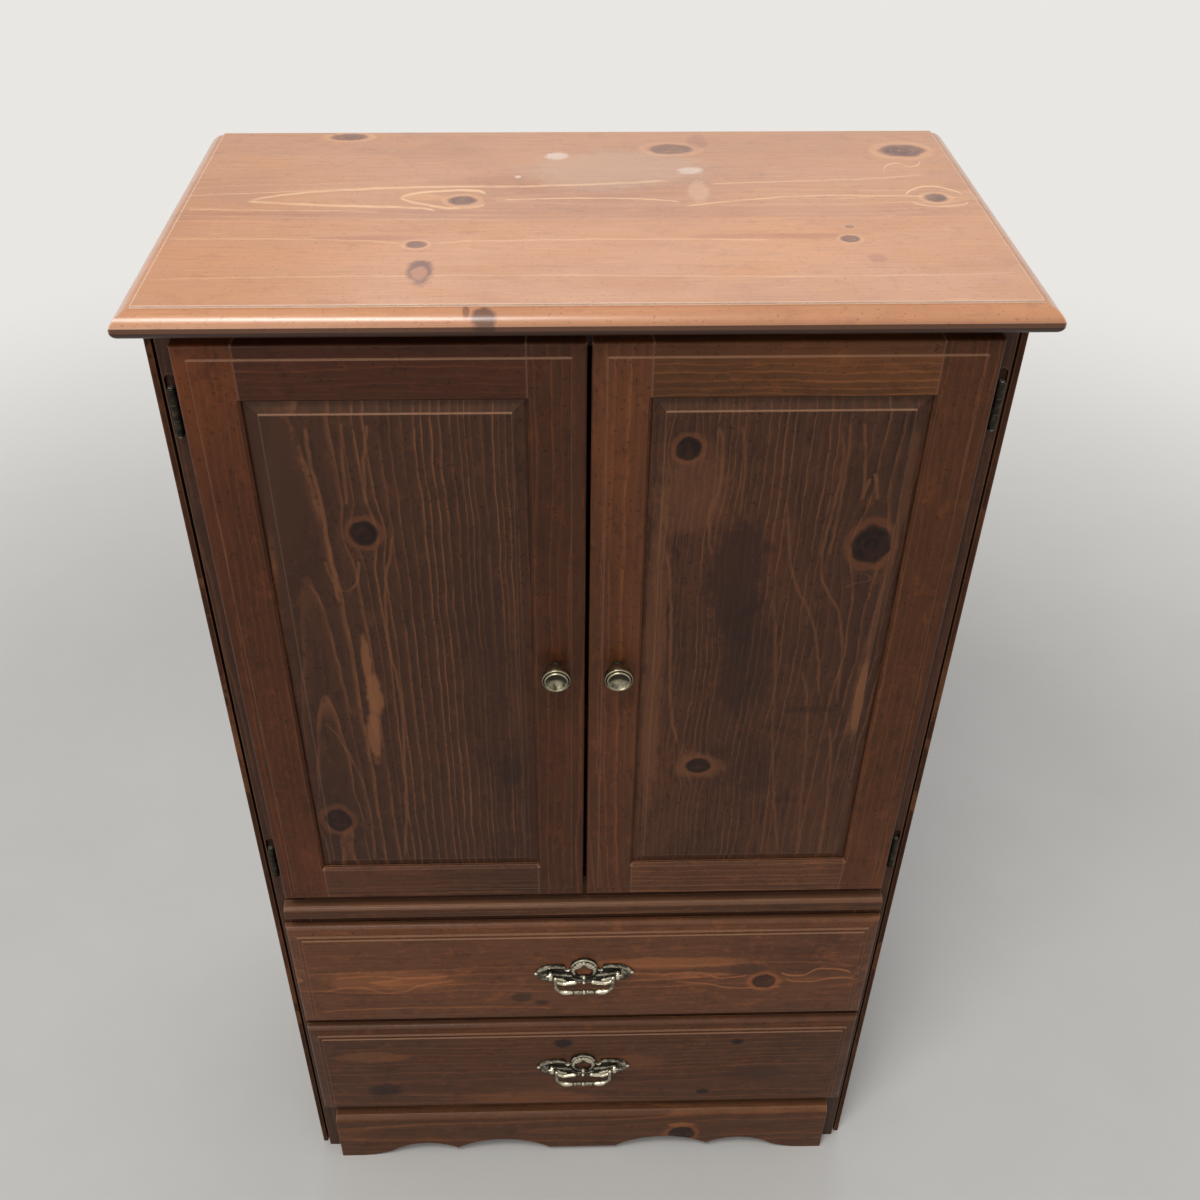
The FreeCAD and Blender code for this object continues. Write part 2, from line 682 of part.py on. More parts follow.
keep(common("skirt", skirt_long, skirt_shape), "skirt_board")

# ---- Drawer runners: a ledge under the drawer side and a guide beside it ----
for tier, sill in (("lower", lower_sill), ("upper", upper_sill)):
    strips = []
    for side, hand in HANDS:
        ledge_inner = box_inner - size.runner_reach
        guide_inner = box_outer + size.guide_play
        runner_section = mirrored([
            (ledge_inner, sill - size.runner_height),
            (side_inner, sill - size.runner_height),
            (side_inner, sill + size.guide_height),
            (guide_inner, sill + size.guide_height),
            (guide_inner, sill),
            (ledge_inner, sill),
        ], side)
        strips.append(prism(f"runner_{tier}_{hand}", "XZ", runner_section, *inside_depth))
    keep(together(f"runners_{tier}", strips), f"drawer_runners_{tier}")

# ---- Hinges: two knuckles on the case, one between them on the door ----
knuckle = (size.barrel_length - size.knuckle_gap * 2) / 3
hinge_bore = size.pin_radius + size.fit_clearance


def hinge_leaf(name, side, middle, depth, levels, free_span, screw_levels, way):
    """A leaf with knuckles at the given levels; free_span is the stretch with no knuckle."""
    low, high = barrel_span(middle)
    across = span(hinge_x - size.leaf_width, hinge_x, side)
    plate = board(name + "_plate", across, depth, (low, high))
    room = size.barrel_radius + size.knuckle_gap
    clearings = [
        board(f"{name}_room_{number}", span(hinge_x - room, hinge_x, side), depth, stretch)
        for number, stretch in enumerate(free_span)
    ]
    knuckles = [
        rod(f"{name}_knuckle_{number}", "Z", (hinge_x * side, hinge_y, level), knuckle, size.barrel_radius)
        for number, level in enumerate(levels)
    ]
    solid = fused(name + "_solid", [cut(name + "_strap", plate, clearings)] + knuckles)
    bore = rod(name + "_bore", "Z", (hinge_x * side, hinge_y, low), size.barrel_length, hinge_bore)
    holes = []
    for number, level in enumerate(screw_levels):
        hole = document.addObject("Part::Cone", f"{name}_sink_{number}")
        bind(hole, {
            "Radius1": size.screw_head_radius + size.fit_clearance,
            "Radius2": size.screw_radius + size.fit_clearance,
            "Height": size.leaf_thickness,
        })
        face = depth[0] if way == INTO_CASE else depth[1]
        holes.append(place(hole, screw_x * side, face, level, driven(way)))
    return cut(name, solid, [bore] + holes)


case_leaves, hinge_pins, case_screws = [], [], []
door_leaves = {"left": [], "right": []}
door_screws = {"left": [], "right": []}
for side, hand in HANDS:
    for place_name, middle in zip(("low", "high"), hinge_middles):
        name = f"hinge_{hand}_{place_name}"
        low, high = barrel_span(middle)
        middle_low = low + knuckle + size.knuckle_gap
        middle_high = middle_low + knuckle
        case_levels = [middle + size.case_screw_spread * step for step in (-1, 1)]
        door_levels = [middle + size.door_screw_spread * step for step in (-1, 1)]
        case_leaves.append(hinge_leaf(
            name + "_case", side, middle, case_leaf, [low, middle_high + size.knuckle_gap],
            [(middle_low - size.knuckle_gap, middle_high + size.knuckle_gap)], case_levels, INTO_CASE))
        door_leaves[hand].append(hinge_leaf(
            name + "_door", side, middle, door_leaf, [middle_low],
            [(low, middle_low), (middle_high, high)], door_levels, INTO_DOOR))
        pin = rod(name + "_pin", "Z", (hinge_x * side, hinge_y, low), size.barrel_length, size.pin_radius)
        buttons = [
            rod(f"{name}_button_{number}", "Z", (hinge_x * side, hinge_y, level),
                size.pin_button, size.pin_button_radius)
            for number, level in enumerate((low - size.pin_button, high))
        ]
        hinge_pins.append(fused(name + "_pin_whole", [pin] + buttons))
        for number, level in enumerate(case_levels):
            case_screws.append(
                hinge_screw(f"{name}_case_screw_{number}", side, level, case_leaf[0], INTO_CASE))
        for number, level in enumerate(door_levels):
            door_screws[hand].append(
                hinge_screw(f"{name}_door_screw_{number}", side, level, door_leaf[1], INTO_DOOR))
keep(together("case_leaves", case_leaves), "hinge_case_leaves")
keep(together("pins_of_hinges", hinge_pins), "hinge_pins")
keep(together("case_screws", case_screws), "hinge_case_screws")

# ---- Catches under the top rail ----
catch_span = (size.catch_inset, size.catch_inset + size.catch_width)
catch_tall = (top_rail_low - size.catch_height, top_rail_low)
catches = [board(f"catch_{hand}", span(*catch_span, side), frame_depth, catch_tall) for side, hand in HANDS]
keep(together("catches", catches), "door_catches")

# ---- Doors ----
door_edge = [
    (ZERO, ZERO),
    (ZERO, size.door_thickness - size.rim_drop - size.rim_round, size.rim_round, ROUND),
    (size.rim_round, size.door_thickness - size.rim_drop),
    (size.rim_width, size.door_thickness - size.rim_drop),
    (size.rim_width, size.door_thickness),
]
tongue = size.groove_depth - size.panel_play
bevel_end = tongue + size.panel_bevel
bevel_top = size.groove_width + size.panel_bevel_rise
panel_edge = [
    (ZERO, ZERO),
    (ZERO, size.groove_width),
    (tongue, size.groove_width),
    (bevel_end, bevel_top),
    (bevel_end, bevel_top + size.panel_step),
]
window_tall = (door_low + size.door_rail, door_top - size.door_rail)
groove_front = door_face + size.groove_setback
groove_back = groove_front + size.groove_width
knob_x = door_inner + size.knob_inset
knob_level = door_low + size.knob_height
knob_tip = size.knob_projection - size.knob_ring
knob_head_back = size.knob_base + size.knob_neck
knob_section = [
    (ZERO, ZERO),
    (size.knob_base_radius, ZERO),
    (size.knob_base_radius, -size.knob_base),
    (size.knob_neck_radius, -size.knob_base),
    (size.knob_neck_radius, -knob_head_back),
    (size.knob_radius, -(knob_tip - size.knob_rim), size.knob_rim, ROUND),
    (size.knob_radius - size.knob_rim, -knob_tip),
    (size.knob_ring_radius, -knob_tip),
    (size.knob_ring_radius - size.knob_ring, -size.knob_projection),
    (ZERO, -size.knob_projection),
]


def bolt(name, x, head_face, tip, level):
    """A machine bolt along Y with its head behind the board it passes through."""
    shank = rod(name + "_shank", "Y", (x, tip, level), head_face - tip, size.bolt_radius)
    head = rod(name + "_head", "Y", (x, head_face, level), size.bolt_head, size.bolt_head_radius)
    return fused(name, [shank, head])


def bolt_hole(name, x, low, high, level):
    return rod(name, "Y", (x, low, level), high - low, size.bolt_radius + size.fit_clearance)


def grown(stretch, amount):
    return (stretch[0] - amount, stretch[1] + amount)


def build_door(side, hand):
    name = f"{hand}_door"
    across = span(door_inner, door_outer, side)
    window_across = (across[0] + size.door_stile, across[1] - size.door_stile)
    blank = moulded_board(name + "_blank", across, (door_low, door_top), door_back, door_edge)
    opening = board(name + "_window", window_across, (door_face, door_back), window_tall)
    chamfer = document.addObject("Part::Wedge", name + "_chamfer")
    wide = grown(window_across, size.window_chamfer)
    high = grown(window_tall, size.window_chamfer)
    bind(chamfer, {
        "Xmin": wide[0], "Xmax": wide[1], "Zmin": high[0], "Zmax": high[1],
        "X2min": window_across[0], "X2max": window_across[1],
        "Z2min": window_tall[0], "Z2max": window_tall[1],
        "Ymin": door_face, "Ymax": door_face + size.window_chamfer,
    })
    groove = board(name + "_groove", grown(window_across, size.groove_depth),
                   (groove_front, groove_back), grown(window_tall, size.groove_depth))
    framing = cut(name + "_framing", blank, [fused(name + "_openings", [opening, chamfer, groove])])

    deep = (door_face, door_back)
    outer_span = span(door_outer - size.door_stile, door_outer, side)
    inner_span = span(door_inner, door_inner + size.door_stile, side)
    whole = (door_low, door_top)
    outer = common(name + "_outer", framing, board(name + "_outer_box", outer_span, deep, whole))
    inner = common(name + "_inner", framing, board(name + "_inner_box", inner_span, deep, whole))

    recesses = []
    for place_name, middle in zip(("low", "high"), hinge_middles):
        leaf_span = span(hinge_x - size.leaf_width, door_outer, side)
        recesses.append(board(f"{name}_recess_{place_name}", leaf_span,
                              (door_leaf[0], door_back), barrel_span(middle)))
        for step in (-1, 1):
            level = middle + size.door_screw_spread * step
            recesses.append(screw_hole(f"{name}_hole_{place_name}_{step}", side, level,
                                       door_leaf[1] - size.screw_length,
                                       size.screw_length - size.leaf_thickness))
    keep(cut(name + "_outer_cut", outer, recesses), name + "_outer_stile")
    hole = bolt_hole(name + "_knob_hole", knob_x * side, door_face, door_back, knob_level)
    keep(cut(name + "_inner_cut", inner, [hole]), name + "_inner_stile")
    rails_of_door = {
        "top_rail": (window_tall[1], door_top),
        "bottom_rail": (door_low, window_tall[0]),
    }
    for label, tall in rails_of_door.items():
        box = board(f"{name}_{label}_box", window_across, deep, tall)
        keep(common(f"{name}_{label}_piece", framing, box), f"{name}_{label}")
    panel_across = grown(window_across, tongue)
    panel_tall = grown(window_tall, tongue)
    keep(moulded_board(name + "_panel_piece", panel_across, panel_tall, groove_back, panel_edge),
         name + "_panel")

    knob = place(turned(name + "_knob_turning", "XY", knob_section, "V_Axis"),
                 knob_x * side, door_face, knob_level)
    socket = bolt_hole(name + "_knob_socket", knob_x * side, door_face - size.bolt_grip,
                       door_face, knob_level)
    keep(cut(name + "_knob_piece", knob, [socket]), name + "_knob")
    keep(bolt(name + "_bolt", knob_x * side, door_back, door_face - size.bolt_grip, knob_level),
         name + "_knob_screw")
    keep(together(name + "_leaves", door_leaves[hand]), name + "_hinge_leaves")
    keep(together(name + "_screws", door_screws[hand]), name + "_hinge_screws")
    strike_span = span(catch_span[0] + size.strike_margin, catch_span[1] - size.strike_margin, side)
    strike_depth = (door_back, door_back + size.strike_thickness)
    keep(board(name + "_strike_plate", strike_span, strike_depth, grown(catch_tall, -size.strike_edge)),
         name + "_strike")


for side, hand in HANDS:
    build_door(side, hand)

# ---- Drawers ----
margin = size.drawer_thickness - size.front_field_rise - size.front_step_rise - size.front_slope
step_low = margin + size.front_slope
step_top = step_low + size.front_step_rise
front_edge = [
    (ZERO, ZERO),
    (ZERO, margin - size.front_round, size.front_round, ROUND),
    (size.front_round, margin),
    (size.front_step_inset, step_low),
    (size.front_step_inset, step_top),
    (size.front_field_inset, step_top),
    (size.front_field_inset, size.drawer_thickness),
]
plate_front = drawer_face - size.plate_thickness
pivot_y = plate_front - size.pivot_reach
post_shoulder = plate_front - size.post_shoulder
post_inner = size.pull_half - size.post_width / 2
post_outer = size.pull_half + size.post_width / 2
arm_x = post_inner - size.arm_gap - size.eye_radius
bend_x = arm_x - size.arm_bend
arm_drop = size.bail_drop - size.arm_bend


# Right half of the back plate of a pull, from the crown down to the notch under the shell.
# Each corner: (0 from the middle or 1 from the post, X from there, Z from the posts[, arc]), on the grid.
PLATE_HALF = [
    (0, 0, 61, 32, ROUND),
    (0, 21, 52, 24, ROUND),
    (0, 34, 32, 48, ROUND),
    (0, 37, 19, 10, HOLLOW),
    (0, 51, 19, 10, ROUND),
    (0, 60, 34, 300, ROUND),
    (1, 4, 34, 54, ROUND),
    (1, 39, 8),
    (1, 39, -8, 54, ROUND),
    (1, 4, -35),
    (1, -10, -36, 14, HOLLOW),
    (0, 70, -44, 10, ROUND),
    (0, 60, -53, 240, ROUND),
    (0, 24, -47, 18, HOLLOW),
    (0, 0, -36),
]
# The pierced hole in the shell, from the middle of the shell.
SHELL_HOLE = [(0, 15), (17, 1), (10, -24), (-10, -24), (-17, 1)]


def pull_plate(name, pivot_level):
    """Pierced back plate with a raised shell, a ball at each end and two bored posts."""
    grid = size.plate_grid
    half = [
        (size.pull_half * anchor + grid * x, grid * z) + ((grid * bend[0], bend[1]) if bend else ())
        for anchor, x, z, *bend in PLATE_HALF
    ]
    outline = half[:-1] + mirrored(backwards(half), LEFT)[:-1]
    flat = prism(name + "_flat", "XZ", outline, plate_front, drawer_face)
    shell_level = pivot_level + size.shell_rise
    pieces = [
        place(flat, ZERO, drawer_face, pivot_level),
        rod(name + "_shell", "Y", (ZERO, plate_front - size.shell_height, shell_level),
            size.shell_height, size.shell_radius),
    ]
    pierced = prism(name + "_pierced", "XZ", [(grid * x, grid * z) for x, z in SHELL_HOLE],
                    plate_front - size.shell_height, drawer_face)
    tools = [place(pierced, ZERO, drawer_face, shell_level)]
    post_top, post_foot = (post_shoulder, size.post_half_height), (post_shoulder, -size.post_half_height)
    post_section = [
        (plate_front, -size.post_half_height),
        (plate_front, size.post_half_height),
        (*post_top, bowed_radius(post_top, post_foot, size.post_bulge), ROUND),
        post_foot,
    ]
    for side, hand in HANDS:
        post_span = span(post_inner, post_outer, side)
        post = prism(f"{name}_post_{hand}", "YZ", post_section, *post_span)
        pieces.append(place(post, post_span[0], ZERO, pivot_level))
        ball = document.addObject("Part::Sphere", f"{name}_ball_{hand}")
        bind(ball, {"Radius": size.tip_radius})
        pieces.append(place(ball, (size.pull_half + size.tip_reach) * side,
                            drawer_face - size.tip_radius, pivot_level))
        tools.append(rod(f"{name}_pivot_bore_{hand}", "X", (post_span[0], pivot_y, pivot_level),
                         size.post_width, size.pivot_radius + size.pivot_play))
        tools.append(bolt_hole(f"{name}_socket_{hand}", size.pull_half * side,
                               plate_front - size.post_bolt_grip, drawer_face, pivot_level))
    keep(cut(name + "_plate_pierced", fused(name + "_plate_solid", pieces), tools), name + "_plate")


def bail_side(name, side, pivot_level):
    """The eye, the arm, the bend and the pin on one side of a bail."""
    eye = document.addObject("Part::Sphere", name + "_eye")
    bind(eye, {"Radius": size.eye_radius})
    bend_level = pivot_level - arm_drop
    arm = rod(name + "_arm", "Z", (arm_x * side, pivot_y, bend_level), arm_drop, size.arm_radius)
    bend = document.addObject("Part::Torus", name + "_bend")
    bind(bend, {"Radius1": size.arm_bend, "Radius2": size.arm_radius})
    bend.Angle3 = QUARTER_TURN
    facing = FreeCAD.Rotation(FreeCAD.Vector(0, 0, 1), 0 if side == RIGHT else HALF_TURN)
    place(bend, bend_x * side, pivot_y, bend_level, facing.multiply(AXIS_TURN["Y"]))
    pin_span = span(arm_x, post_outer + size.pivot_stub, side)
    pin = rod(name + "_pin", "X", (pin_span[0], pivot_y, pivot_level), pin_span[1] - pin_span[0],
              size.pivot_radius)
    return [place(eye, arm_x * side, pivot_y, pivot_level), arm, bend, pin]


def pull_bail(name, pivot_level):
    """The hanging bail: two arms, and a turned grip with a bead in the middle."""
    swell_end = (size.fillet_half, size.arm_radius)
    swell_start = (bend_x, size.arm_radius)
    bead_end = (size.bead_half, size.fillet_radius)
    bead_start = (-size.bead_half, size.fillet_radius)
    swell = bowed_radius(swell_end, swell_start, size.grip_radius - size.arm_radius)
    bead = bowed_radius(bead_start, bead_end, size.bead_radius - size.fillet_radius)
    right = [
        bead_end,
        (size.fillet_half, size.fillet_radius),
        (*swell_end, swell, ROUND),
        swell_start,
        (bend_x, ZERO),
    ]
    left = mirrored(backwards(right), LEFT)
    grip_section = right + left[:-1] + [(*bead_start, bead, ROUND)]
    grip = place(turned(name + "_grip", "XY", grip_section, "H_Axis"),
                 ZERO, pivot_y, pivot_level - size.bail_drop)
    pieces = [grip]
    for side, hand in HANDS:
        pieces += bail_side(f"{name}_{hand}", side, pivot_level)
    keep(fused(name + "_bail_whole", pieces), name + "_bail")


def build_pull(name, level):
    """A pull on the drawer front, and the bolts that hold it from inside."""
    pivot_level = level + size.pull_rise
    pull_plate(name, pivot_level)
    pull_bail(name, pivot_level)
    bolts = [
        bolt(f"{name}_bolt_{hand}", size.pull_half * side, drawer_back,
             plate_front - size.post_bolt_grip, pivot_level)
        for side, hand in HANDS
    ]
    keep(together(name + "_bolts", bolts), name + "_screws")


def build_drawer(tier, low, sill):
    name = f"{tier}_drawer"
    middle = low + size.drawer_height / 2
    front = moulded_board(name + "_blank", (-drawer_half, drawer_half), (low, low + size.drawer_height),
                          drawer_back, front_edge)
    holes = [
        bolt_hole(f"{name}_hole_{hand}", size.pull_half * side, drawer_face, drawer_back,
                  middle + size.pull_rise)
        for side, hand in HANDS
    ]
    keep(cut(name + "_front_piece", front, holes), name + "_front")
    side_tall = (sill + size.slide_play, sill + size.slide_play + size.box_height)
    side_deep = (drawer_back, drawer_back + size.box_length)
    bottom_tall = (side_tall[0] + size.box_bottom_rise,
                   side_tall[0] + size.box_bottom_rise + size.box_bottom)
    groove_x = box_inner + size.box_groove
    for side, hand in HANDS:
        plank = board(f"{name}_plank_{hand}", span(box_inner, box_outer, side), side_deep, side_tall)
        groove = board(f"{name}_groove_{hand}", span(box_inner, groove_x, side), side_deep, bottom_tall)
        keep(cut(f"{name}_side_piece_{hand}", plank, [groove]), f"{name}_side_{hand}")
    keep(board(name + "_back_board", (-box_inner, box_inner), (side_deep[1] - size.box_side, side_deep[1]),
               (bottom_tall[1], side_tall[1])), name + "_back")
    keep(board(name + "_bottom_board", (-groove_x, groove_x), side_deep, bottom_tall), name + "_bottom")
    build_pull(name + "_pull", middle)


build_drawer("lower", lower_low, lower_sill)
build_drawer("upper", upper_low, upper_sill)

# ---- Check every object, then write one file for each piece ----
document.recompute()
for thing in document.Objects:
    if {"Invalid", "Error"} & set(thing.State):
        raise RuntimeError(f"{thing.Label} did not rebuild: {thing.State}")
for thing in parts:
    if thing.Shape.isNull() or not thing.Shape.isValid() or thing.Shape.Volume <= 0:
        raise RuntimeError(f"{thing.Label} is not a valid solid")
os.makedirs("parts", exist_ok=True)
for thing in parts:
    thing.Shape.exportStep(f"parts/{thing.Label}.step")
print(f"{len(parts)} pieces written, {len(document.Objects)} objects in the document")
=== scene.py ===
# %% [markdown]
# # A pine television armoire
# The cabinet was built in CAD, board by board. This lesson dresses it: stained pine with knots, aged brass
# pulls and knobs, and a plain studio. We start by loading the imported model, which stays where it is.

# %% Load the frame
from math import asin, atan2, copysign, cos, pi, radians, sin, sqrt, tau
import bmesh
import bpy
from mathutils import Matrix, Vector, geometry, kdtree


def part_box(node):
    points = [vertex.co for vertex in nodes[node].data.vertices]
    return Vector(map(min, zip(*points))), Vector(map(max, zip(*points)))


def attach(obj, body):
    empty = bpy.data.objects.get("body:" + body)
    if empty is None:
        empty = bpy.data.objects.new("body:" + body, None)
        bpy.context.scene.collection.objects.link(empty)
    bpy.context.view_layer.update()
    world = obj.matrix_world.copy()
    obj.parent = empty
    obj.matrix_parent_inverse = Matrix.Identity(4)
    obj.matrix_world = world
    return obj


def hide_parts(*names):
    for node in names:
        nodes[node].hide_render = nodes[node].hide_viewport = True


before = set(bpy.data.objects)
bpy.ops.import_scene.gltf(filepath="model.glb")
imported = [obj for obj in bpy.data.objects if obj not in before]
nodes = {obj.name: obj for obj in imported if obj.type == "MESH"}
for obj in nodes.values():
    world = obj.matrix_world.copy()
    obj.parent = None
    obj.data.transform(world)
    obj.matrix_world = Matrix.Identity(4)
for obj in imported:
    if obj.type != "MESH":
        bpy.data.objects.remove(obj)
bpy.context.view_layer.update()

# %% Objects in the scene
def add_object(name, data):
    made = bpy.data.objects.new(name, data)
    bpy.context.scene.collection.objects.link(made)
    return made


print("scene:", bpy.context.scene.name)

# %% [markdown]
# ## Studio
# A cabinet is judged by its boards, so the room is as plain as possible: a pale floor that keeps the shadow,
# and a world that is white to the camera. Broad lamps stand above and in front, because a raised panel
# only shows its bevels when the light comes from one side more than from the other.

# %% Colours as they are seen
def linear(red, green, blue):
    """A colour given as it is seen on a screen, 0 to 255, as the light values that Blender mixes."""
    seen = [channel / 255 for channel in (red, green, blue)]
    return tuple(c / 12.92 if c <= 0.04045 else ((c + 0.055) / 1.055) ** 2.4 for c in seen) + (1.0,)


# %% Shader maths as Python
def maths(operation, swapped=False):
    """A method that adds one Math node behind a wire."""
    def method(self, *others):
        terms = (*others, self) if swapped else (self, *others)
        return self.tree.node("Math", {"operation": operation}, dict(enumerate(terms)))
    return method


class Wire:
    """One output of a shader node. Sums on it add Math nodes."""

    def __init__(self, tree, socket):
        self.tree = tree
        self.socket = socket

    __add__ = __radd__ = maths("ADD")
    __mul__ = __rmul__ = maths("MULTIPLY")
    __sub__, __rsub__ = maths("SUBTRACT"), maths("SUBTRACT", swapped=True)
    __truediv__, __rtruediv__ = maths("DIVIDE"), maths("DIVIDE", swapped=True)
    __pow__, __abs__ = maths("POWER"), maths("ABSOLUTE")
    larger, floor, fraction, sine = map(maths, ("MAXIMUM", "FLOOR", "FRACT", "SINE"))

    def step(self, low, high, to_low=0.0, to_high=1.0):
        """A soft step from one value to another."""
        return self.tree.node("MapRange", {"interpolation_type": "SMOOTHSTEP"}, {
            "Value": self, "From Min": low, "From Max": high, "To Min": to_low, "To Max": to_high})

    def mix(self, mask, other, how="MIX"):
        """Lay another colour over this one by a mask."""
        return self.tree.mix(mask, self, other, how)


class Tree:
    """A node tree under construction."""

    def __init__(self, tree):
        self.tree = tree

    def fill(self, socket, value):
        if isinstance(value, Wire):
            self.tree.links.new(value.socket, socket)
        else:
            socket.default_value = value

    def node(self, kind, settings=None, inputs=None, output=0):
        """Add a node: its settings first, then values or links for its sockets."""
        made = self.tree.nodes.new("ShaderNode" + kind)
        for name, value in (settings or {}).items():
            if name == "stops":
                curve = made.mapping.curves[0]
                curve.points[0].location, curve.points[-1].location = value[0], value[-1]
                for stop in value[1:-1]:
                    curve.points.new(*stop)
                made.mapping.update()
            else:
                setattr(made, name, value)
        for key, value in (inputs or {}).items():
            self.fill(made.inputs[key], value)
        return Wire(self, made.outputs[output])

    def mix(self, mask, first, second, how="MIX"):
        """Mix two colours by a mask."""
        settings = {"data_type": "RGBA", "blend_type": how, "clamp_factor": True}
        return self.node("Mix", settings, {0: mask, 6: first, 7: second}, output=2)

    def vector(self, across, along, depth):
        return self.node("CombineXYZ", {}, {0: across, 1: along, 2: depth})

    def noise(self, place, scale=1.0, detail=2.0, roughness=0.5):
        return self.node("TexNoise", {}, {
            "Vector": place, "Scale": scale, "Detail": detail, "Roughness": roughness})


class Finish(Tree):
    """A material under construction."""

    def __init__(self, name):
        self.material = bpy.data.materials.new(name)
        self.material.use_nodes = True
        super().__init__(self.material.node_tree)
        self.surface = self.tree.nodes["Principled BSDF"]

    def dress(self, **sockets):
        """Fill the sockets of the surface; underscores stand for the spaces in their names."""
        for name, value in sockets.items():
            self.fill(self.surface.inputs[name.replace("_", " ")], value)
        return self.material


print("shader helpers ready")

# %% A white room
WHITE_ROOM = (0.82, 0.80, 0.77, 1.0)
SKY_TINT, SKY_LIGHT = (0.96, 0.98, 1.0, 1.0), 0.5


def seen_directly(tree):
    """1 for what the eye, a mirror or a glass sees, 0 for the light that reaches the object."""
    rays = ("Is Camera Ray", "Is Glossy Ray", "Is Transmission Ray")
    camera, glossy, through = (tree.node("LightPath", output=ray) for ray in rays)
    return camera.larger(glossy).larger(through)


world = bpy.data.worlds.new("studio_world")
bpy.context.scene.world = world
world.use_nodes = True
sky = Tree(world.node_tree)
plain = sky.tree.nodes["Background"]
plain.inputs["Color"].default_value = SKY_TINT
plain.inputs["Strength"].default_value = SKY_LIGHT
room = sky.node("Background", {}, {"Color": WHITE_ROOM})
either = sky.node("MixShader", {}, {0: seen_directly(sky), 1: Wire(sky, plain.outputs[0]), 2: room})
sky.fill(sky.tree.nodes["World Output"].inputs["Surface"], either)
print("sky light:", SKY_LIGHT)

# %% A floor that fades into the room
FLOOR_HALF, FADE_START, FADE_END = 40, 1.2, 3.4
mesh = bpy.data.meshes.new("studio_floor")
square = [(x * FLOOR_HALF, y * FLOOR_HALF, 0) for x, y in ((-1, -1), (1, -1), (1, 1), (-1, 1))]
mesh.from_pydata(square, [], [(0, 1, 2, 3)])
floor = add_object("studio_floor", mesh)
paint = Finish("pale_floor")
place = paint.node("TexCoord", output=3)
shade = paint.mix(paint.noise(place, 1.3, 5, 0.65), linear(192, 190, 186), linear(212, 210, 207))
paint.dress(Base_Color=shade, Roughness=0.85)
away = paint.node("VectorMath", {"operation": "LENGTH"}, {0: place}, output=1)
far = away.step(FADE_START, FADE_END) * seen_directly(paint)
glow = paint.node("Emission", {}, {"Color": WHITE_ROOM})
both = paint.node("MixShader", {}, {0: far, 1: Wire(paint, paint.surface.outputs[0]), 2: glow})
paint.fill(paint.tree.nodes["Material Output"].inputs["Surface"], both)
mesh.materials.append(paint.material)
print("floor, metres across:", 2 * FLOOR_HALF)

# %% Lamps
LAMP_TINT = (1.0, 0.98, 0.95)


def lamp(name, place, target, width, height, watts):
    data = bpy.data.lights.new(name, "AREA")
    data.shape = "RECTANGLE"
    data.size = width
    data.size_y = height
    data.energy = watts
    data.color = LAMP_TINT
    made = add_object(name, data)
    made.location = place
    made.rotation_euler = (Vector(target) - Vector(place)).to_track_quat("-Z", "Y").to_euler()


lamp("ceiling_lamp", (-0.9, -1.9, 4.6), (0, 0, 0.9), 1.6, 0.9, 84)
lamp("front_lamp", (-1.6, -4.2, 2.6), (0, 0, 0.7), 2.2, 1.6, 33)
lamp("back_lamp", (0.4, 2.6, 3.2), (0, 0, 1.3), 2.4, 0.8, 16)

# %% [markdown]
# ## Camera
# The eye of a standing person, a little over a metre in front of the doors, looks down on the slab. The lens
# is that of a plain camera, and its small shift is that of a picture trimmed a little at the edges.

# %% Camera
EYE = Vector((-0.03526, -1.24714, 1.92152))
YAW, PITCH, ROLL = (radians(angle) for angle in (1.567, 38.540, -0.333))
FOCAL_PIXELS, FRAME_PIXELS, SENSOR = 1304.84, 1200, 36.0
LENS_CENTRE = (581.09, 598.23)
lens = bpy.data.cameras.new("camera")
lens.sensor_width = SENSOR
lens.lens = FOCAL_PIXELS / FRAME_PIXELS * SENSOR
lens.shift_x = 0.5 - LENS_CENTRE[0] / FRAME_PIXELS
lens.shift_y = LENS_CENTRE[1] / FRAME_PIXELS - 0.5
ahead = Vector((sin(YAW) * cos(PITCH), cos(YAW) * cos(PITCH), -sin(PITCH)))
level = Vector((cos(YAW), -sin(YAW), 0))
down = ahead.cross(level)
right = level * cos(ROLL) + down * sin(ROLL)
lower = down * cos(ROLL) - level * sin(ROLL)
camera = add_object("camera", lens)
camera.matrix_world = Matrix.Translation(EYE) @ Matrix((right, -lower, -ahead)).transposed().to_4x4()
bpy.context.scene.camera = camera
bpy.context.scene.view_settings.view_transform = "Standard"
print("lens, mm:", round(lens.lens, 2))

# %% [markdown]
# ## Stained pine
# A pine board shows the rings of its tree cut lengthwise: close lines where the cut runs far from the heart,
# and long pointed flames where it runs near. We give every board its own heart line and colour it by the
# distance to that line, so the face, the edges and the end grain agree with each other. Here the stain sank
# into the soft early wood, so the hard late wood stays as thin pale lines.

# %% Places on a board
AXES = {"X": 0, "Y": 1, "Z": 2}
MM = 0.001


def third_axis(first, second):
    return next(axis for axis in AXES if axis not in (first, second))


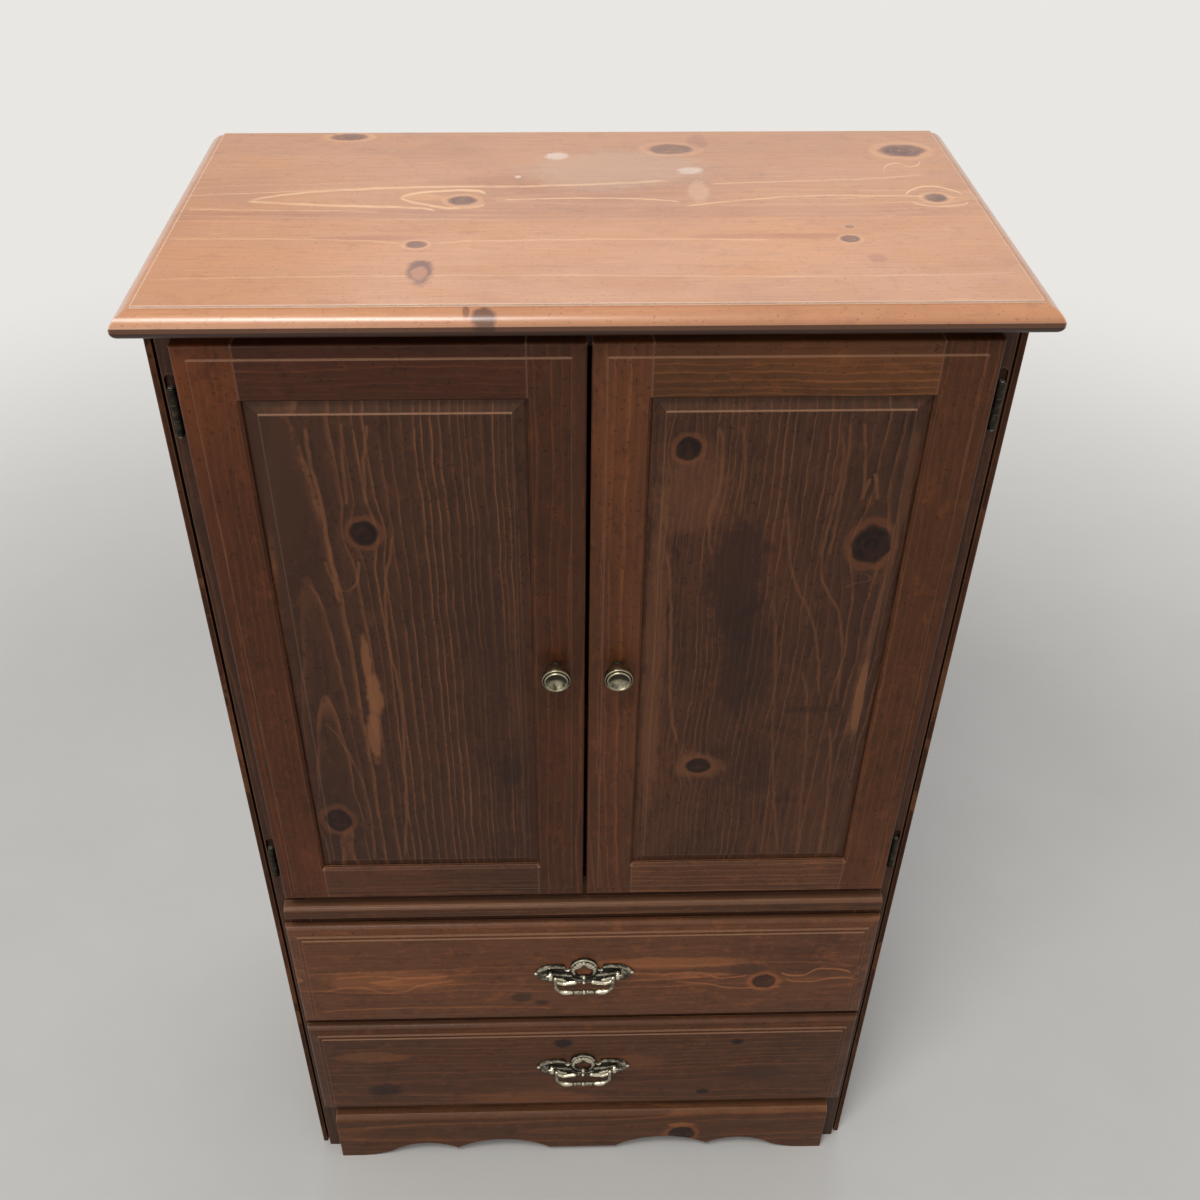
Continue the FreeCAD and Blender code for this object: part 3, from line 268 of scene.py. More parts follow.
class Board:
    """Where a point lies on a board, in metres: across the grain, along it, and in its thickness."""

    def __init__(self, finish, grain, across, seed):
        place = finish.node("TexCoord", output=3)
        self.along, self.across, self.depth = (
            finish.node("SeparateXYZ", {}, {0: place}, output=AXES[axis])
            for axis in (grain, across, third_axis(grain, across)))
        self.finish = finish
        self.flat = finish.vector(self.across, self.along, 0.0)
        self.seed = seed

    def cloud(self, along, across, detail=2.0, roughness=0.5, slip=0.0):
        """Noise from -0.5 to 0.5; along and across count its patches in a metre."""
        place = self.finish.vector(self.across * across + (self.seed + slip), self.along * along + self.seed,
                                   self.depth * across + self.seed * 0.7)
        return self.finish.noise(place, 1.0, detail, roughness) - 0.5

    def oval(self, across, along, half_wide, half_long):
        """Distance from the middle of an oval, 1 at its rim; millimetres."""
        finish = self.finish
        scale = Vector((1 / (half_wide * MM), 1 / (half_long * MM), 0))
        start = Vector((-across * MM * scale.x, -along * MM * scale.y, 0))
        moved = finish.node("VectorMath", {"operation": "MULTIPLY_ADD"},
                            {0: self.flat, 1: scale, 2: start})
        return finish.node("VectorMath", {"operation": "LENGTH"}, {0: moved}, output=1)


print("1 mm is", MM, "m")

# %% Rings that flow round the knots
KNOT_REACH, KNOT_PUSH = (2.3, 3.4), 0.78
CROWDING = 2.4
# How the rings wander: cloud patches along and across, detail, roughness, slip, metres.
WANDER = [(1.3, 1.1, 2.0, 0.5, 0.0, 0.03), (10, 14, 2.0, 0.5, 4.1, 0.01), (34, 46, 3.0, 0.6, 2.2, 0.004)]


def growth_rings(board, look):
    """The number of rings between a point and the heart line of its board."""
    finish = board.finish
    across, depth, slope, phase = look["heart"]
    wave = look["waviness"]
    pushed = board.across
    for *cloud, reach in WANDER:
        pushed = pushed + board.cloud(*cloud) * (reach * wave)
    for knot_across, knot_along, wide, long, *_ in look["knots"]:
        reach = board.oval(knot_across, knot_along, wide * KNOT_REACH[0], long * KNOT_REACH[1])
        hold = reach.step(0.15, 1.0, KNOT_PUSH, 0.0)
        pushed = pushed - (board.across - knot_across * MM) * hold
    aside = pushed - across * MM
    bowed = board.cloud(2.5, 0.4, 1.0, slip=9.3) * (0.012 * wave)
    deep = board.depth - depth * MM + board.along * slope + bowed
    radius = (aside ** 2.0 + deep ** 2.0) ** 0.5
    turns = radius * (radius * CROWDING + 1.0) / (look["spacing"] * MM) + phase
    lean_years = finish.noise(finish.vector(turns * 0.45, board.seed, 0.0), 1.0, 1.0) - 0.5
    return turns + lean_years * look["uneven_years"], abs(aside)


def late_wood(rings):
    """A crisp line at the end of each year, and the fading tone behind it."""
    year = rings.fraction()
    end = year.step(0.96, 1.0, 1.0, 0.0)
    return year.step(0.66, 0.93) * end, year.step(0.1, 0.95) * end


print("rings reach", KNOT_REACH, "knot radii")

# %% Knots
KNOT_RINGS = 17.0


def knot_masks(board, knots):
    """Masks for all the knots of a board: core, dark rim, halo, and thin rings in and round it."""
    ragged = board.cloud(55, 60, 3.0, 0.6, slip=7.7) * 0.6
    core, rim, halo, rings = 0.0, 0.0, 0.0, 0.0
    for across, along, wide, long, strength in knots:
        edge = board.oval(across, along, wide, long) + ragged
        core = edge.step(0.86, 1.02, strength, 0.0).larger(core)
        inside = edge.step(0.6, 0.95, 0.0, strength)
        rim = (inside * edge.step(1.0, 1.12, 1.0, 0.0)).larger(rim)
        halo = edge.step(1.1, 1.65, strength, 0.0).larger(halo)
        inner = (edge * KNOT_RINGS).sine().step(0.3, 1.0, 0.0, strength)
        rings = (inner * edge.step(0.7, 0.9, 0.35, 0.0)).larger(rings)
        rings = abs(edge - 1.36).step(0.02, 0.14, strength, 0.0).larger(rings)
    whole = board.cloud(40, 40, 3.0, 0.6, slip=1.9).step(-0.2, 0.15, 0.1, 1.0)
    return core, rim, halo, rings * whole


print("knot masks ready")

# %% Single lines
def drawn_lines(board, lines):
    """A mask of single pale lines: width, strength, then the places of its points, along and across."""
    finish = board.finish
    jitter = board.cloud(45, 34, 3.0, 0.6, slip=3.3) * 0.005
    mask = 0.0
    for wide, strength, *places in lines:
        points = sorted(zip(places[::2], places[1::2]))
        start, end = points[0][0], points[-1][0]
        low = min(across for _, across in points)
        high = max(across for _, across in points) + 1
        stops = [((along - start) / (end - start), (across - low) / (high - low)) for along, across in points]
        share = (board.along - start * MM) / ((end - start) * MM)
        led = finish.node("FloatCurve", {"stops": stops}, {"Value": share})
        away = abs(board.across + jitter - low * MM - led * ((high - low) * MM))
        ends = abs(share - 0.5).step(0.46, 0.5, 1.0, 0.0)
        mask = (away.step(wide * 0.25 * MM, wide * MM, strength, 0.0) * ends).larger(mask)
    return mask * board.cloud(30, 24, 3.0, 0.6, slip=7.2).step(-0.3, 0.1, 0.35, 1.0)


print("lines are led through points")

# %% The colours of the stain
BODY = dict(early=linear(60, 37, 25), late=linear(112, 71, 46), dark=linear(32, 19, 13),
            warm=linear(92, 54, 34), knot=linear(22, 11, 9), halo=linear(104, 62, 38),
            worn=linear(158, 118, 92))
# The slab is stained like the body; this palette is a lit copy of that stain, painted light from above on its
# top, and its worn colour near white paints the highlight on its edges.
LIT_SLAB = dict(early=linear(196, 138, 99), late=linear(238, 190, 142), dark=linear(154, 98, 70),
            warm=linear(210, 144, 92), knot=linear(92, 46, 35), halo=linear(222, 164, 116),
            worn=linear(246, 214, 190))
RAW = dict(early=linear(206, 172, 124), late=linear(176, 124, 74), dark=linear(170, 128, 84),
           warm=linear(214, 176, 120), knot=linear(110, 66, 40), halo=linear(186, 136, 84),
           worn=linear(214, 186, 144))
print("palettes:", [len(palette) for palette in (BODY, LIT_SLAB, RAW)])

# %% Stain and fibre
# Clouds of stain: size, slip, colour, strength.
BLOTCHES = [(3.4, 3.9, "warm", 0.75), (2.6, 6.1, "dark", 0.6), (9.0, 11.3, "dark", 0.4)]


def stained(board, palette, look):
    """The colour of the wood itself, with its rings, and the mask of its hard lines."""
    finish = board.finish
    rings, aside = growth_rings(board, look)
    line, tone = late_wood(rings)
    each = finish.node("TexWhiteNoise", {"noise_dimensions": "1D"}, {"W": rings.floor() + board.seed})
    uneven = (board.cloud(4, 12, 3.0, slip=1.7) + (each - 0.5) * 0.5).step(-0.3, 0.25, 0.15, 1.0)
    near = aside.step(look["figure"] * MM, look["figure"] * MM * 1.6, 1.0, look["faint"])
    broken = board.cloud(26, 60, 4.0, 0.65, slip=6.4).step(-0.25, 0.12, 0.25, 1.0)
    strength = uneven * broken * near * look["contrast"]
    colour = finish.mix(tone * near * (0.24 * look["contrast"]), palette["early"], palette["warm"])
    colour = colour.mix(line * strength, palette["late"])
    for size, slip, tint, most in BLOTCHES:
        cloud = board.cloud(size * 0.5, size, 4.0, 0.62, slip=slip)
        colour = colour.mix(cloud.step(0.0, 0.3, 0.0, most * look["blotch"]), palette[tint])
    return colour, line * strength


def fibres(board, palette, colour, look):
    """Short streaks of stain along the grain and dark pits; also the relief they make."""
    streak = board.cloud(16, 260, 3.0, 0.65, slip=5.0)
    colour = colour.mix(streak.step(0.0, 0.28, 0.0, look["streaks"]), palette["dark"])
    colour = colour.mix(streak.step(-0.05, -0.3, 0.0, look["streaks"] * 0.5), palette["warm"])
    for slip, tint in ((12.7, "dark"), (14.9, "warm")):
        mottle = board.cloud(38, 60, 4.0, 0.7, slip=slip)
        colour = colour.mix(mottle.step(0.02, 0.22, 0.0, look["mottle"]), palette[tint])
    scratch = board.cloud(24, 420, 2.0, 0.5, slip=6.6)
    colour = colour.mix(scratch.step(0.19, 0.27, 0.0, look["scratches"]), palette["late"])
    pits = board.cloud(210, 330, 1.0, slip=8.0).step(0.16, 0.21, 0.0, look["pits"])
    return colour.mix(pits, palette["knot"]), streak, pits


print("stain and fibres ready")

# %% Faces and corners
def true_normal(finish):
    return finish.node("NewGeometry", output=3)


def upward(finish, normal):
    """How far a surface faces up, from -1 to 1."""
    return finish.node("SeparateXYZ", {}, {0: normal}, output=2)


def corners(finish, samples, radius):
    """A normal rounded over the corners, and how far it agrees with the true one: 1 away from a corner."""
    rounded = finish.node("Bevel", {"samples": samples}, {"Radius": radius})
    agreed = finish.node("VectorMath", {"operation": "DOT_PRODUCT"},
                         {0: rounded, 1: true_normal(finish)}, output=1)
    return rounded, agreed


def worn_and_lit_edges(board, amount):
    """Where hands and cloths have worn the stain off the corners; upper edges get a painted highlight on top
    of the wear.
    """
    finish = board.finish
    rounded, agreed = corners(finish, 6, 0.003)
    edge = (agreed + board.cloud(30, 30, 4.0, 0.7, slip=2.9) * 0.1).step(0.95, 0.84, 0.0, amount)
    return edge * upward(finish, rounded).step(-0.1, 0.7, 0.3, 1.0)


print("corners found by a Bevel node")

# %% What lies on the wood
SEAM = 0.8


def drawn_on(board, palette, colour, look):
    """Planks of slightly different wood, single lines, and spots."""
    for low, high, shade in look["planks"]:
        away, half = abs(board.across - (low + high) / 2 * MM), (high - low) / 2
        within = away.step((half - SEAM) * MM, (half + SEAM) * MM, 1.0, 0.0)
        colour = colour.mix(within, colour.mix(1.0, (*shade, 1.0), "MULTIPLY"))
    if look["lines"]:
        colour = colour.mix(drawn_lines(board, look["lines"]), palette["late"])
    if look["marks"]:
        crumbs = board.cloud(85, 120, 3.0, 0.7, slip=3.3) * 0.7
    for across, along, wide, long, tint, strength in look["marks"]:
        spot = board.oval(across, along, wide, long) + board.cloud(25, 40, 3.0, slip=across) * 0.8
        colour = colour.mix((spot + crumbs).step(0.6, 1.1, strength, 0.0), linear(*tint))
    return colour


def knotted(board, palette, colour, look):
    """The colour with its knots, and the mask of their cores."""
    if not look["knots"]:
        return colour, 0.0
    core, rim, halo, rings = knot_masks(board, look["knots"])
    colour = colour.mix(halo * look["halo"], palette["halo"])
    dense = board.cloud(70, 90, 3.0, slip=9.1).step(-0.3, 0.15, 0.75, 1.0)
    colour = colour.mix(core * dense, palette["knot"])
    colour = colour.mix(rim * 0.6, palette["dark"])
    return colour.mix(rings * look["ringed"], palette["halo"]), core


def wear_and_painted_light(board, palette, colour, look):
    """Painted shade under a rounded edge, painted light on upper faces, and worn corners with a painted
    highlight on upper edges; also the weight of the lacquer.
    """
    finish = board.finish
    coat = look["coat"]
    # Painted shade: the shaded colour on faces that look down.
    if look["shaded"]:
        facing = upward(finish, true_normal(finish))
        colour = colour.mix(facing.step(0.72, -0.2, 0.0, 1.0), look["shaded"])
        coat = facing.step(0.99, 0.93, coat, 0.9) * facing.step(0.5, 0.2, 1.0, 0.1)
    # Painted light from above: faces that look up are mixed towards the pale worn colour.
    if look["dust"]:
        dusty = upward(finish, true_normal(finish)).step(0.08, 0.6, 0.0, look["dust"])
        colour = colour.mix(dusty, palette["worn"])
    return colour.mix(worn_and_lit_edges(board, look["worn"]), palette["worn"]), coat


print("seams between planks, mm:", 2 * SEAM)

# %% A pine board
ALWAYS = dict(
    waviness=1.0, spacing=13.0, uneven_years=1.6, contrast=0.8, figure=2000, faint=1.0, streaks=0.5,
    mottle=0.4, scratches=0.3, pits=0.5, blotch=1.0, tint=None, planks=(), lines=(), marks=(), knots=(),
    halo=0.55, ringed=0.3, shaded=None, dust=0.0, worn=0.9, gloss=0.42, shine=0.14, coat=0.06,
    coat_gloss=0.16)


def pine(name, palette, grain, across, seed, heart, **rest):
    """Finish one board. A mark is a spot: across, along, half width, half length, seen colour, strength."""
    look = {**ALWAYS, **rest, "heart": heart}
    finish = Finish(name)
    board = Board(finish, grain, across, seed)
    colour, line = stained(board, palette, look)
    colour, streak, pits = fibres(board, palette, colour, look)
    colour = drawn_on(board, palette, colour, look)
    colour, core = knotted(board, palette, colour, look)
    if look["tint"]:
        colour = colour.mix(1.0, (*look["tint"], 1.0), "MULTIPLY")
    colour, coat = wear_and_painted_light(board, palette, colour, look)
    uneven = board.cloud(8, 20, 4.0, 0.6, slip=4.4) + streak * 0.4
    rough = uneven.step(-0.4, 0.4, look["gloss"] - 0.1, look["gloss"] + 0.14)
    height = board.cloud(20, 26, 3.0, slip=5.5) * 0.5 - streak * 0.3 + line * 0.25 - pits * 0.7 - core * 0.3
    soft = finish.node("Bevel", {"samples": 4}, {"Radius": 0.0012})
    bump = finish.node("Bump", {}, {"Strength": 0.4, "Distance": 0.0006, "Height": height, "Normal": soft})
    return finish.dress(Base_Color=colour, Roughness=rough, Normal=bump, Specular_IOR_Level=look["shine"],
                        Coat_Weight=coat, Coat_Roughness=look["coat_gloss"])


print("a board takes", sorted(ALWAYS))

# %% [markdown]
# ## The boards of this cabinet
# Each board gets its own grain direction and heart line. The boards that everyone looks at, the door panels,
# the drawer fronts and the slab, also get their knots one by one, because a knot pulls the whole figure
# round it.

# %% Fitting a finish to a node
UPRIGHT, LEVEL, LYING = ("Z", "X"), ("X", "Z"), ("X", "Y")
dressed = set()


def dress_node(name, material):
    for slot in nodes[name].material_slots:
        slot.material = material


def grain_frame(name):
    """Grain and face axes from the proportions of a board."""
    low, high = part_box(name)
    sides = sorted("XYZ", key=lambda axis: high[AXES[axis]] - low[AXES[axis]])
    return sides[2], sides[1]


def board(name, seed, heart, axes=None, palette=BODY, **rest):
    grain, across = axes or grain_frame(name)
    dress_node(name, pine(name + "_wood", palette, grain, across, seed, heart, **rest))
    dressed.add(name)


print("boards by proportion:", grain_frame("left_door_panel"), grain_frame("top_slab"))

# %% Left door panel
LIGHT, STAIN, DARK, SOOT = (124, 80, 52), (60, 37, 25), (42, 27, 21), (22, 14, 12)
# Lines: width, strength, then places along and across the board. Spots: see pine.
LEFT_LINES = [
    (3.0, 0.7, 1297, -263, 1265, -263, 1216, -258, 1150, -256, 1084, -254),
    (2.6, 0.6, 1299, -229, 1250, -232, 1206, -233), (2.6, 0.6, 1297, -205, 1245, -213, 1208, -215),
    (2.4, 0.6, 1182, -190, 1144, -197, 1095, -206, 1032, -208, 959, -202, 860, -205, 683, -219),
    (2.4, 0.5, 1113, -288, 1085, -272, 1015, -265, 928, -258),
    (2.4, 0.5, 918, -290, 861, -265, 783, -253, 684, -255), (2.4, 0.6, 1139, -229, 1112, -234, 1100, -246),
    (2.4, 0.6, 1139, -262, 1112, -256, 1100, -246),
]
LEFT_MARKS = [
    (-234, 1000, 5, 48, LIGHT, 0.75), (-229, 958, 10, 34, LIGHT, 0.8), (-233, 925, 6, 40, LIGHT, 0.7),
    (-236, 895, 8, 42, LIGHT, 0.75), (-298, 1240, 34, 124, STAIN, 0.9), (-85, 835, 14, 28, DARK, 0.6),
    (-110, 1000, 34, 200, DARK, 0.3),
]
board("left_door_panel", 3.1, (-286, -237.5, -0.0625, 0.16), UPRIGHT, spacing=14.3, waviness=0.8,
      contrast=0.9, dust=0.45, knots=[(-220, 1173, 14, 15, 1.0), (-291, 759, 16, 18, 0.9)],
      lines=LEFT_LINES, marks=LEFT_MARKS)
print("lines on the left panel:", len(LEFT_LINES))

# %% Right door panel
RIGHT_LINES = [
    (2.6, 0.5, 1291, 232, 1247, 242, 1194, 239, 1138, 235, 1094, 246, 1064, 262, 1008, 272, 933, 275),
    (2.4, 0.45, 1294, 241, 1247, 246, 1187, 245, 1138, 242), (2.4, 0.5, 1294, 256, 1253, 263, 1207, 267),
    (2.6, 0.45, 1208, 193, 1138, 203, 1102, 213, 1064, 232, 1009, 246, 946, 254),
    (7.0, 0.4, 1290, 307, 1213, 309, 1144, 306, 1067, 303, 1000, 297, 928, 295, 880, 293),
    (2.6, 0.55, 1147, 79, 1066, 87, 970, 90, 874, 104),
    (2.4, 0.4, 1087, 191, 1009, 201, 881, 210, 686, 236),
    (2.4, 0.4, 989, 231, 903, 247, 787, 253, 674, 259), (2.6, 0.45, 903, 272, 786, 284, 674, 287),
    (2.4, 0.4, 1292, 142, 1235, 149, 1188, 147), (2.6, 0.45, 1292, 115, 1235, 127, 1188, 119, 1140, 125),
    (2.6, 0.6, 1232, 270, 1207, 266), (2.6, 0.6, 1238, 274, 1207, 282),
    (3.4, 0.35, 1118, 252, 1100, 266, 1098, 274, 1110, 288),
]
RIGHT_MARKS = [
    (152, 1110, 34, 95, DARK, 0.7), (170, 1000, 30, 90, DARK, 0.55), (300, 943, 6, 62, LIGHT, 0.7),
    (128, 842, 32, 22, LIGHT, 0.35), (245, 928, 34, 6, DARK, 0.45), (100, 1220, 40, 60, LIGHT, 0.25),
    (72, 1000, 12, 260, LIGHT, 0.3),
]
board("right_door_panel", 8.6, (395, -140, -0.02, 0.3), UPRIGHT, spacing=16, waviness=1.3,
      contrast=0.75, streaks=0.75, dust=0.45, lines=RIGHT_LINES, marks=RIGHT_MARKS,
      knots=[(94, 1267, 12, 13, 1.0), (283, 1153, 19, 23, 1.0), (128, 842, 14, 12, 0.9)])
print("lines on the right panel:", len(RIGHT_LINES))

# %% Door frames
# Each board took the stain in its own way: outer and inner stile, top and bottom rail.
TONES = {
    "left": [(1.4, 1.06, 0.7), (1.2, 0.98, 0.75), (0.93, 0.72, 0.6), (1.25, 1.2, 1.12)],
    "right": [(1.54, 1.26, 0.83), (1.68, 1.44, 1.1), (1.98, 1.8, 1.2), (1.97, 1.87, 1.6)],
}
FRAME = {"contrast": 0.4, "streaks": 0.45, "spacing": 12}
for hand, way, seed in (("left", -1, 11.0), ("right", 1, 17.0)):
    outer, inner, top, bottom = TONES[hand]
    door = hand + "_door_"
    board(door + "outer_stile", seed, (way * 440, -150, 0.02, 0.0), tint=outer, **FRAME)
    board(door + "inner_stile", seed + 1.3, (way * -40, -140, -0.015, 0.0), tint=inner, **FRAME)
    board(door + "top_rail", seed + 2.1, (1450, -160, 0.02, 0.0), LEVEL, tint=top, **FRAME)
    board(door + "bottom_rail", seed + 3.7, (560, -160, -0.02, 0.0), LEVEL, tint=bottom, **FRAME)
print("boards so far:", len(dressed))

# %% Drawer fronts
UPPER_LINES = [
    (2.6, 0.5, 102, 441, 150, 449, 186, 436, 222, 449), (2.6, 0.5, 120, 430, 160, 424, 214, 412, 268, 414),
    (3.0, 0.6, 262, 452, 290, 438, 316, 452, 358, 440), (2.6, 0.5, 270, 438, 300, 424, 340, 432, 366, 426),
    (2.4, 0.45, -347, 412, -300, 428, -262, 414, -214, 432, -170, 440),
    (2.4, 0.4, -330, 446, -280, 452, -222, 446, -176, 456), (2.0, 0.35, -360, 372, -200, 380, -40, 372),
]
UPPER_MARKS = [
    (454, 219, 13, 26, DARK, 0.6), (399, -84, 12, 16, SOOT, 0.6), (387, -56, 7, 12, SOOT, 0.6),
    (470, 110, 14, 120, LIGHT, 0.25), (360, 300, 16, 70, DARK, 0.35), (440, -260, 26, 100, LIGHT, 0.2),
]
LOWER_MARKS = [
    (289, -28, 11, 16, SOOT, 0.9), (177, -284, 18, 26, SOOT, 0.7), (203, 255, 20, 62, DARK, 0.6),
    (285, 217, 7, 9, SOOT, 0.9), (158, 176, 8, 11, SOOT, 0.9), (240, 60, 22, 60, LIGHT, 0.2),
    (150, -80, 20, 120, LIGHT, 0.18), (262, -300, 14, 60, LIGHT, 0.25),
]
board("upper_drawer_front", 21.0, (440, -206, 0.06, 0.1), LEVEL, spacing=15, waviness=1.5,
      contrast=0.6, faint=0.2, figure=26, ringed=0.12, dust=0.12, tint=(2.5, 2.25, 1.85),
      knots=[(427, 241, 15, 16, 0.9)], lines=UPPER_LINES, marks=UPPER_MARKS)
board("lower_drawer_front", 26.0, (180, -165, 0.018, 0.0), LEVEL, contrast=0.4, dust=0.12,
      tint=(1.53, 1.36, 1.08), marks=LOWER_MARKS)
print("spots on the drawers:", len(UPPER_MARKS + LOWER_MARKS))

# %% Slab
# The slab is glued up from planks: from, to, shade.
PLANKS = [
    (-250, -123, (1.0, 0.97, 0.92)), (-123, -14, (1.04, 1.0, 0.94)), (-14, 12, (0.93, 0.9, 0.88)),
    (12, 90, (1.0, 1.0, 0.98)), (161, 240, (0.95, 0.95, 0.97)),
]
SLAB_LINES = [
    (4.0, 0.75, -339, 32, -186, 67, -51, 69, 92, 83), (4.0, 0.75, -339, 32, -264, 21, -170, 13, -145, 2),
    (4.5, 0.8, -186, 39, -150, 56, -118, 58, -98, 44), (4.5, 0.75, -186, 39, -160, 22, -122, 12, -98, 24),
    (2.0, 0.5, -401, 47, -182, 69), (2.0, 0.5, -395, 11, -300, 9, -200, 3),
    (2.4, 0.7, -82, 32, 17, 36, 80, 30, 99, 17), (2.4, 0.7, 99, 14, 167, 30, 242, 40, 330, 38, 386, 33),
    (2.2, 0.6, 130, 74, 230, 80, 324, 89, 361, 99), (3.0, 0.9, 328, 38, 342, 58, 358, 64, 376, 56, 388, 36),
    (3.0, 0.8, 330, 30, 345, 13, 372, 12, 388, 28), (2.6, 0.7, 318, 96, 336, 130, 352, 120, 366, 142),
    (2.0, 0.4, -398, -60, -240, -64, -172, -74), (2.0, 0.4, -150, -74, 20, -66, 180, -70),
    (2.0, 0.35, -402, -150, -100, -144, 200, -150, 400, -140),
]
SLAB_KNOTS = [
    (32, -122, 12, 15, 1.0), (33, 358, 11, 12, 1.0), (167, 352, 19, 25, 1.0), (175, 100, 15, 25, 0.8),
    (217, -256, 11, 20, 0.9), (-76, -161, 8, 10, 0.9), (-68, 252, 8, 9, 0.9), (-39, 256, 4, 5, 0.6),
]
CHALK = (236, 220, 208)
SLAB_MARKS = [
    (155, -27, 12, 15, CHALK, 0.6), (111, 114, 13, 16, CHALK, 0.6), (95, -67, 4, 4, CHALK, 0.6),
    (115, 40, 60, 110, (196, 160, 136), 0.4), (-136, -153, 28, 14, (100, 48, 36), 0.9),
    (-139, -153, 17, 9, (182, 120, 86), 0.85), (-214, -92, 12, 11, (64, 32, 26), 0.75),
    (-208, -108, 8, 4, (80, 44, 34), 0.6), (40, -160, 10, 26, (224, 164, 108), 0.4),
    (52, 118, 34, 12, (226, 184, 150), 0.35), (-60, -200, 6, 60, (168, 100, 74), 0.5),
    (-60, 180, 7, 90, (168, 102, 76), 0.45), (196, 130, 26, 14, (150, 86, 66), 0.4),
    (-112, 269, 12, 11, (170, 104, 80), 0.6), (0, -230, 7, 200, (170, 108, 80), 0.35),
]
# The shaded colour paints the shade on the lower half of the slab's rounded edge.
board("top_slab", 31.0, (36, 1402.5, -0.078, 0.4), LYING, LIT_SLAB, spacing=14, waviness=1.2, gloss=0.34,
      contrast=0.4, figure=40, faint=0.3, streaks=0.3, pits=0.3, halo=0.4, shine=0.34, uneven_years=0.5,
      shaded=linear(60, 34, 23), coat=0.2, mottle=0.3, scratches=0.35, ringed=0.5, worn=1.0,
      coat_gloss=0.24, planks=PLANKS, lines=SLAB_LINES, knots=SLAB_KNOTS, marks=SLAB_MARKS)
print("knots on the slab:", len(SLAB_KNOTS))

# %% Mouldings
board("waist_moulding", 37.0, (500, -150, 0.01, 0.0), LEVEL, dust=0.25, tint=(1.5, 1.4, 1.15), **FRAME)
board("skirt_board", 41.0, (60, -160, 0.02, 0.0), LEVEL, dust=0.12, contrast=0.5, spacing=12,
      tint=(1.62, 1.45, 1.05), knots=[(45, 150, 19, 19, 1.0)], marks=[(70, 150, 8, 22, LIGHT, 0.6)])
print("boards so far:", len(dressed))

# %% Case
MATT = {"coat": 0.0, "shine": 0.05}
SIDE_KNOTS = [(-60, 1010, 13, 15, 0.9), (120, 460, 15, 17, 0.9), (70, 1230, 8, 9, 0.8)]
for hand, way, number in (("left", -1, 0), ("right", 1, 1)):
    board(f"side_panel_{hand}", 51.0 + number * 4.4, (30, way * 440, 0.05 * way, 0.0), ("Z", "Y"),
          spacing=14, gloss=0.6, knots=SIDE_KNOTS, **MATT)
    board(f"face_stile_{hand}", 61.0 + number * 3.3, (way * 330, -150, 0.02, 0.0), UPRIGHT, **FRAME)
for number, rail in enumerate(("top_rail", "middle_rail", "divider_rail", "bottom_rail")):
    board(rail, 71.0 + number * 2.7, (1500 - number * 300, -150, 0.02, 0.0), LEVEL, **FRAME)
board("deck_board", 81.0, (-20, 640, 0.02, 0.0), LYING)
board("media_shelf", 83.0, (60, 900, 0.02, 0.0), LYING)
board("back_panel", 85.0, (0, 205, 0.012, 0.0), UPRIGHT, spacing=26, waviness=2.5, **MATT)
print("boards so far:", len(dressed))

# %% Drawer boxes and hidden boards
RAW_BOARDS = ["drawer_runners_upper", "drawer_runners_lower", "bottom_panel", "rear_top_rail",
              "corner_blocks"]
HEART_ASIDE, HEART_DEEP = 30, 40
for tier in ("upper", "lower"):
    RAW_BOARDS += [f"{tier}_drawer_{piece}" for piece in ("side_left", "side_right", "back", "bottom")]
for number, name in enumerate(RAW_BOARDS):
    low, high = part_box(name)
    grain, across = grain_frame(name)
    middle = [(low[axis] + high[axis]) / 2 / MM for axis in range(3)]
    depth = third_axis(grain, across)
    heart = (middle[AXES[across]] + HEART_ASIDE, middle[AXES[depth]] + HEART_DEEP, 0.02, 0.0)
    board(name, 90.0 + number * 1.9, heart, (grain, across), RAW, spacing=12, gloss=0.6, worn=0.2)
print("boards finished:", len(dressed))

# %% [markdown]
# ## Browned brass
# The pulls and knobs are brass that was browned and then rubbed: the polish comes back on every rib and rim
# that fingers touch, and the hollows stay dark. So the relief that shapes a casting also colours it. Each of
# its points keeps a number, 0 in a hollow and 1 on a rib, and the finish reads that number. The hinges have
# no relief, so theirs comes from a Bevel node, which finds the corners.

# %% The finish of the metals
def metal(name, bright, dark, rough, relief=True, painted_shade_range=(-0.38, 0.02)):
    """Polish where fingers rub and tarnish in hollows; faces that look further down than the given range get
    painted shade.
    """
    finish = Finish(name)
    place = finish.node("TexCoord", output=3)
    spots = finish.noise(place, 700, 4, 0.65)
    clouds = finish.noise(place, 150, 3, 0.55)
    if relief:
        kept = finish.node("Attribute", {"attribute_name": "relief"}, output=2)
    else:
        kept = corners(finish, 4, 0.0012)[1].step(1.0, 0.86, 0.25, 1.0)
    facing = upward(finish, finish.node("NewGeometry", output=1))
    polish = (kept + (spots - 0.5) * 0.7 + (clouds - 0.5) * 1.1).step(0.12, 0.85)
    # Painted shade: faces that look down lose their polish.
    polish = polish * facing.step(*painted_shade_range, 0.1, 1.0)
    bump = finish.node("Bump", {}, {"Strength": 0.3, "Distance": 0.0003, "Height": spots})
    return finish.dress(Base_Color=finish.mix(polish, dark, bright), Normal=bump,
                        Metallic=polish.step(0.0, 1.0, 0.8, 1.0),
                        Roughness=polish.step(0.0, 1.0, rough + 0.25, rough))


cast_brass = metal("aged_brass_casting", linear(206, 197, 174), linear(34, 29, 22), 0.22)
# The knobs paint shade on more of the faces that look down.
turned_brass = metal("aged_brass_turning", linear(166, 157, 132), linear(38, 35, 26), 0.26,
                     painted_shade_range=(-0.14, 0.16))
hinge_bronze = metal("hinge_bronze", linear(104, 95, 76), linear(30, 26, 21), 0.4, relief=False)
steel = metal("dark_steel", linear(176, 172, 164), linear(92, 88, 80), 0.34, relief=False)
print("metals:", cast_brass.name, turned_brass.name, hinge_bronze.name, steel.name)

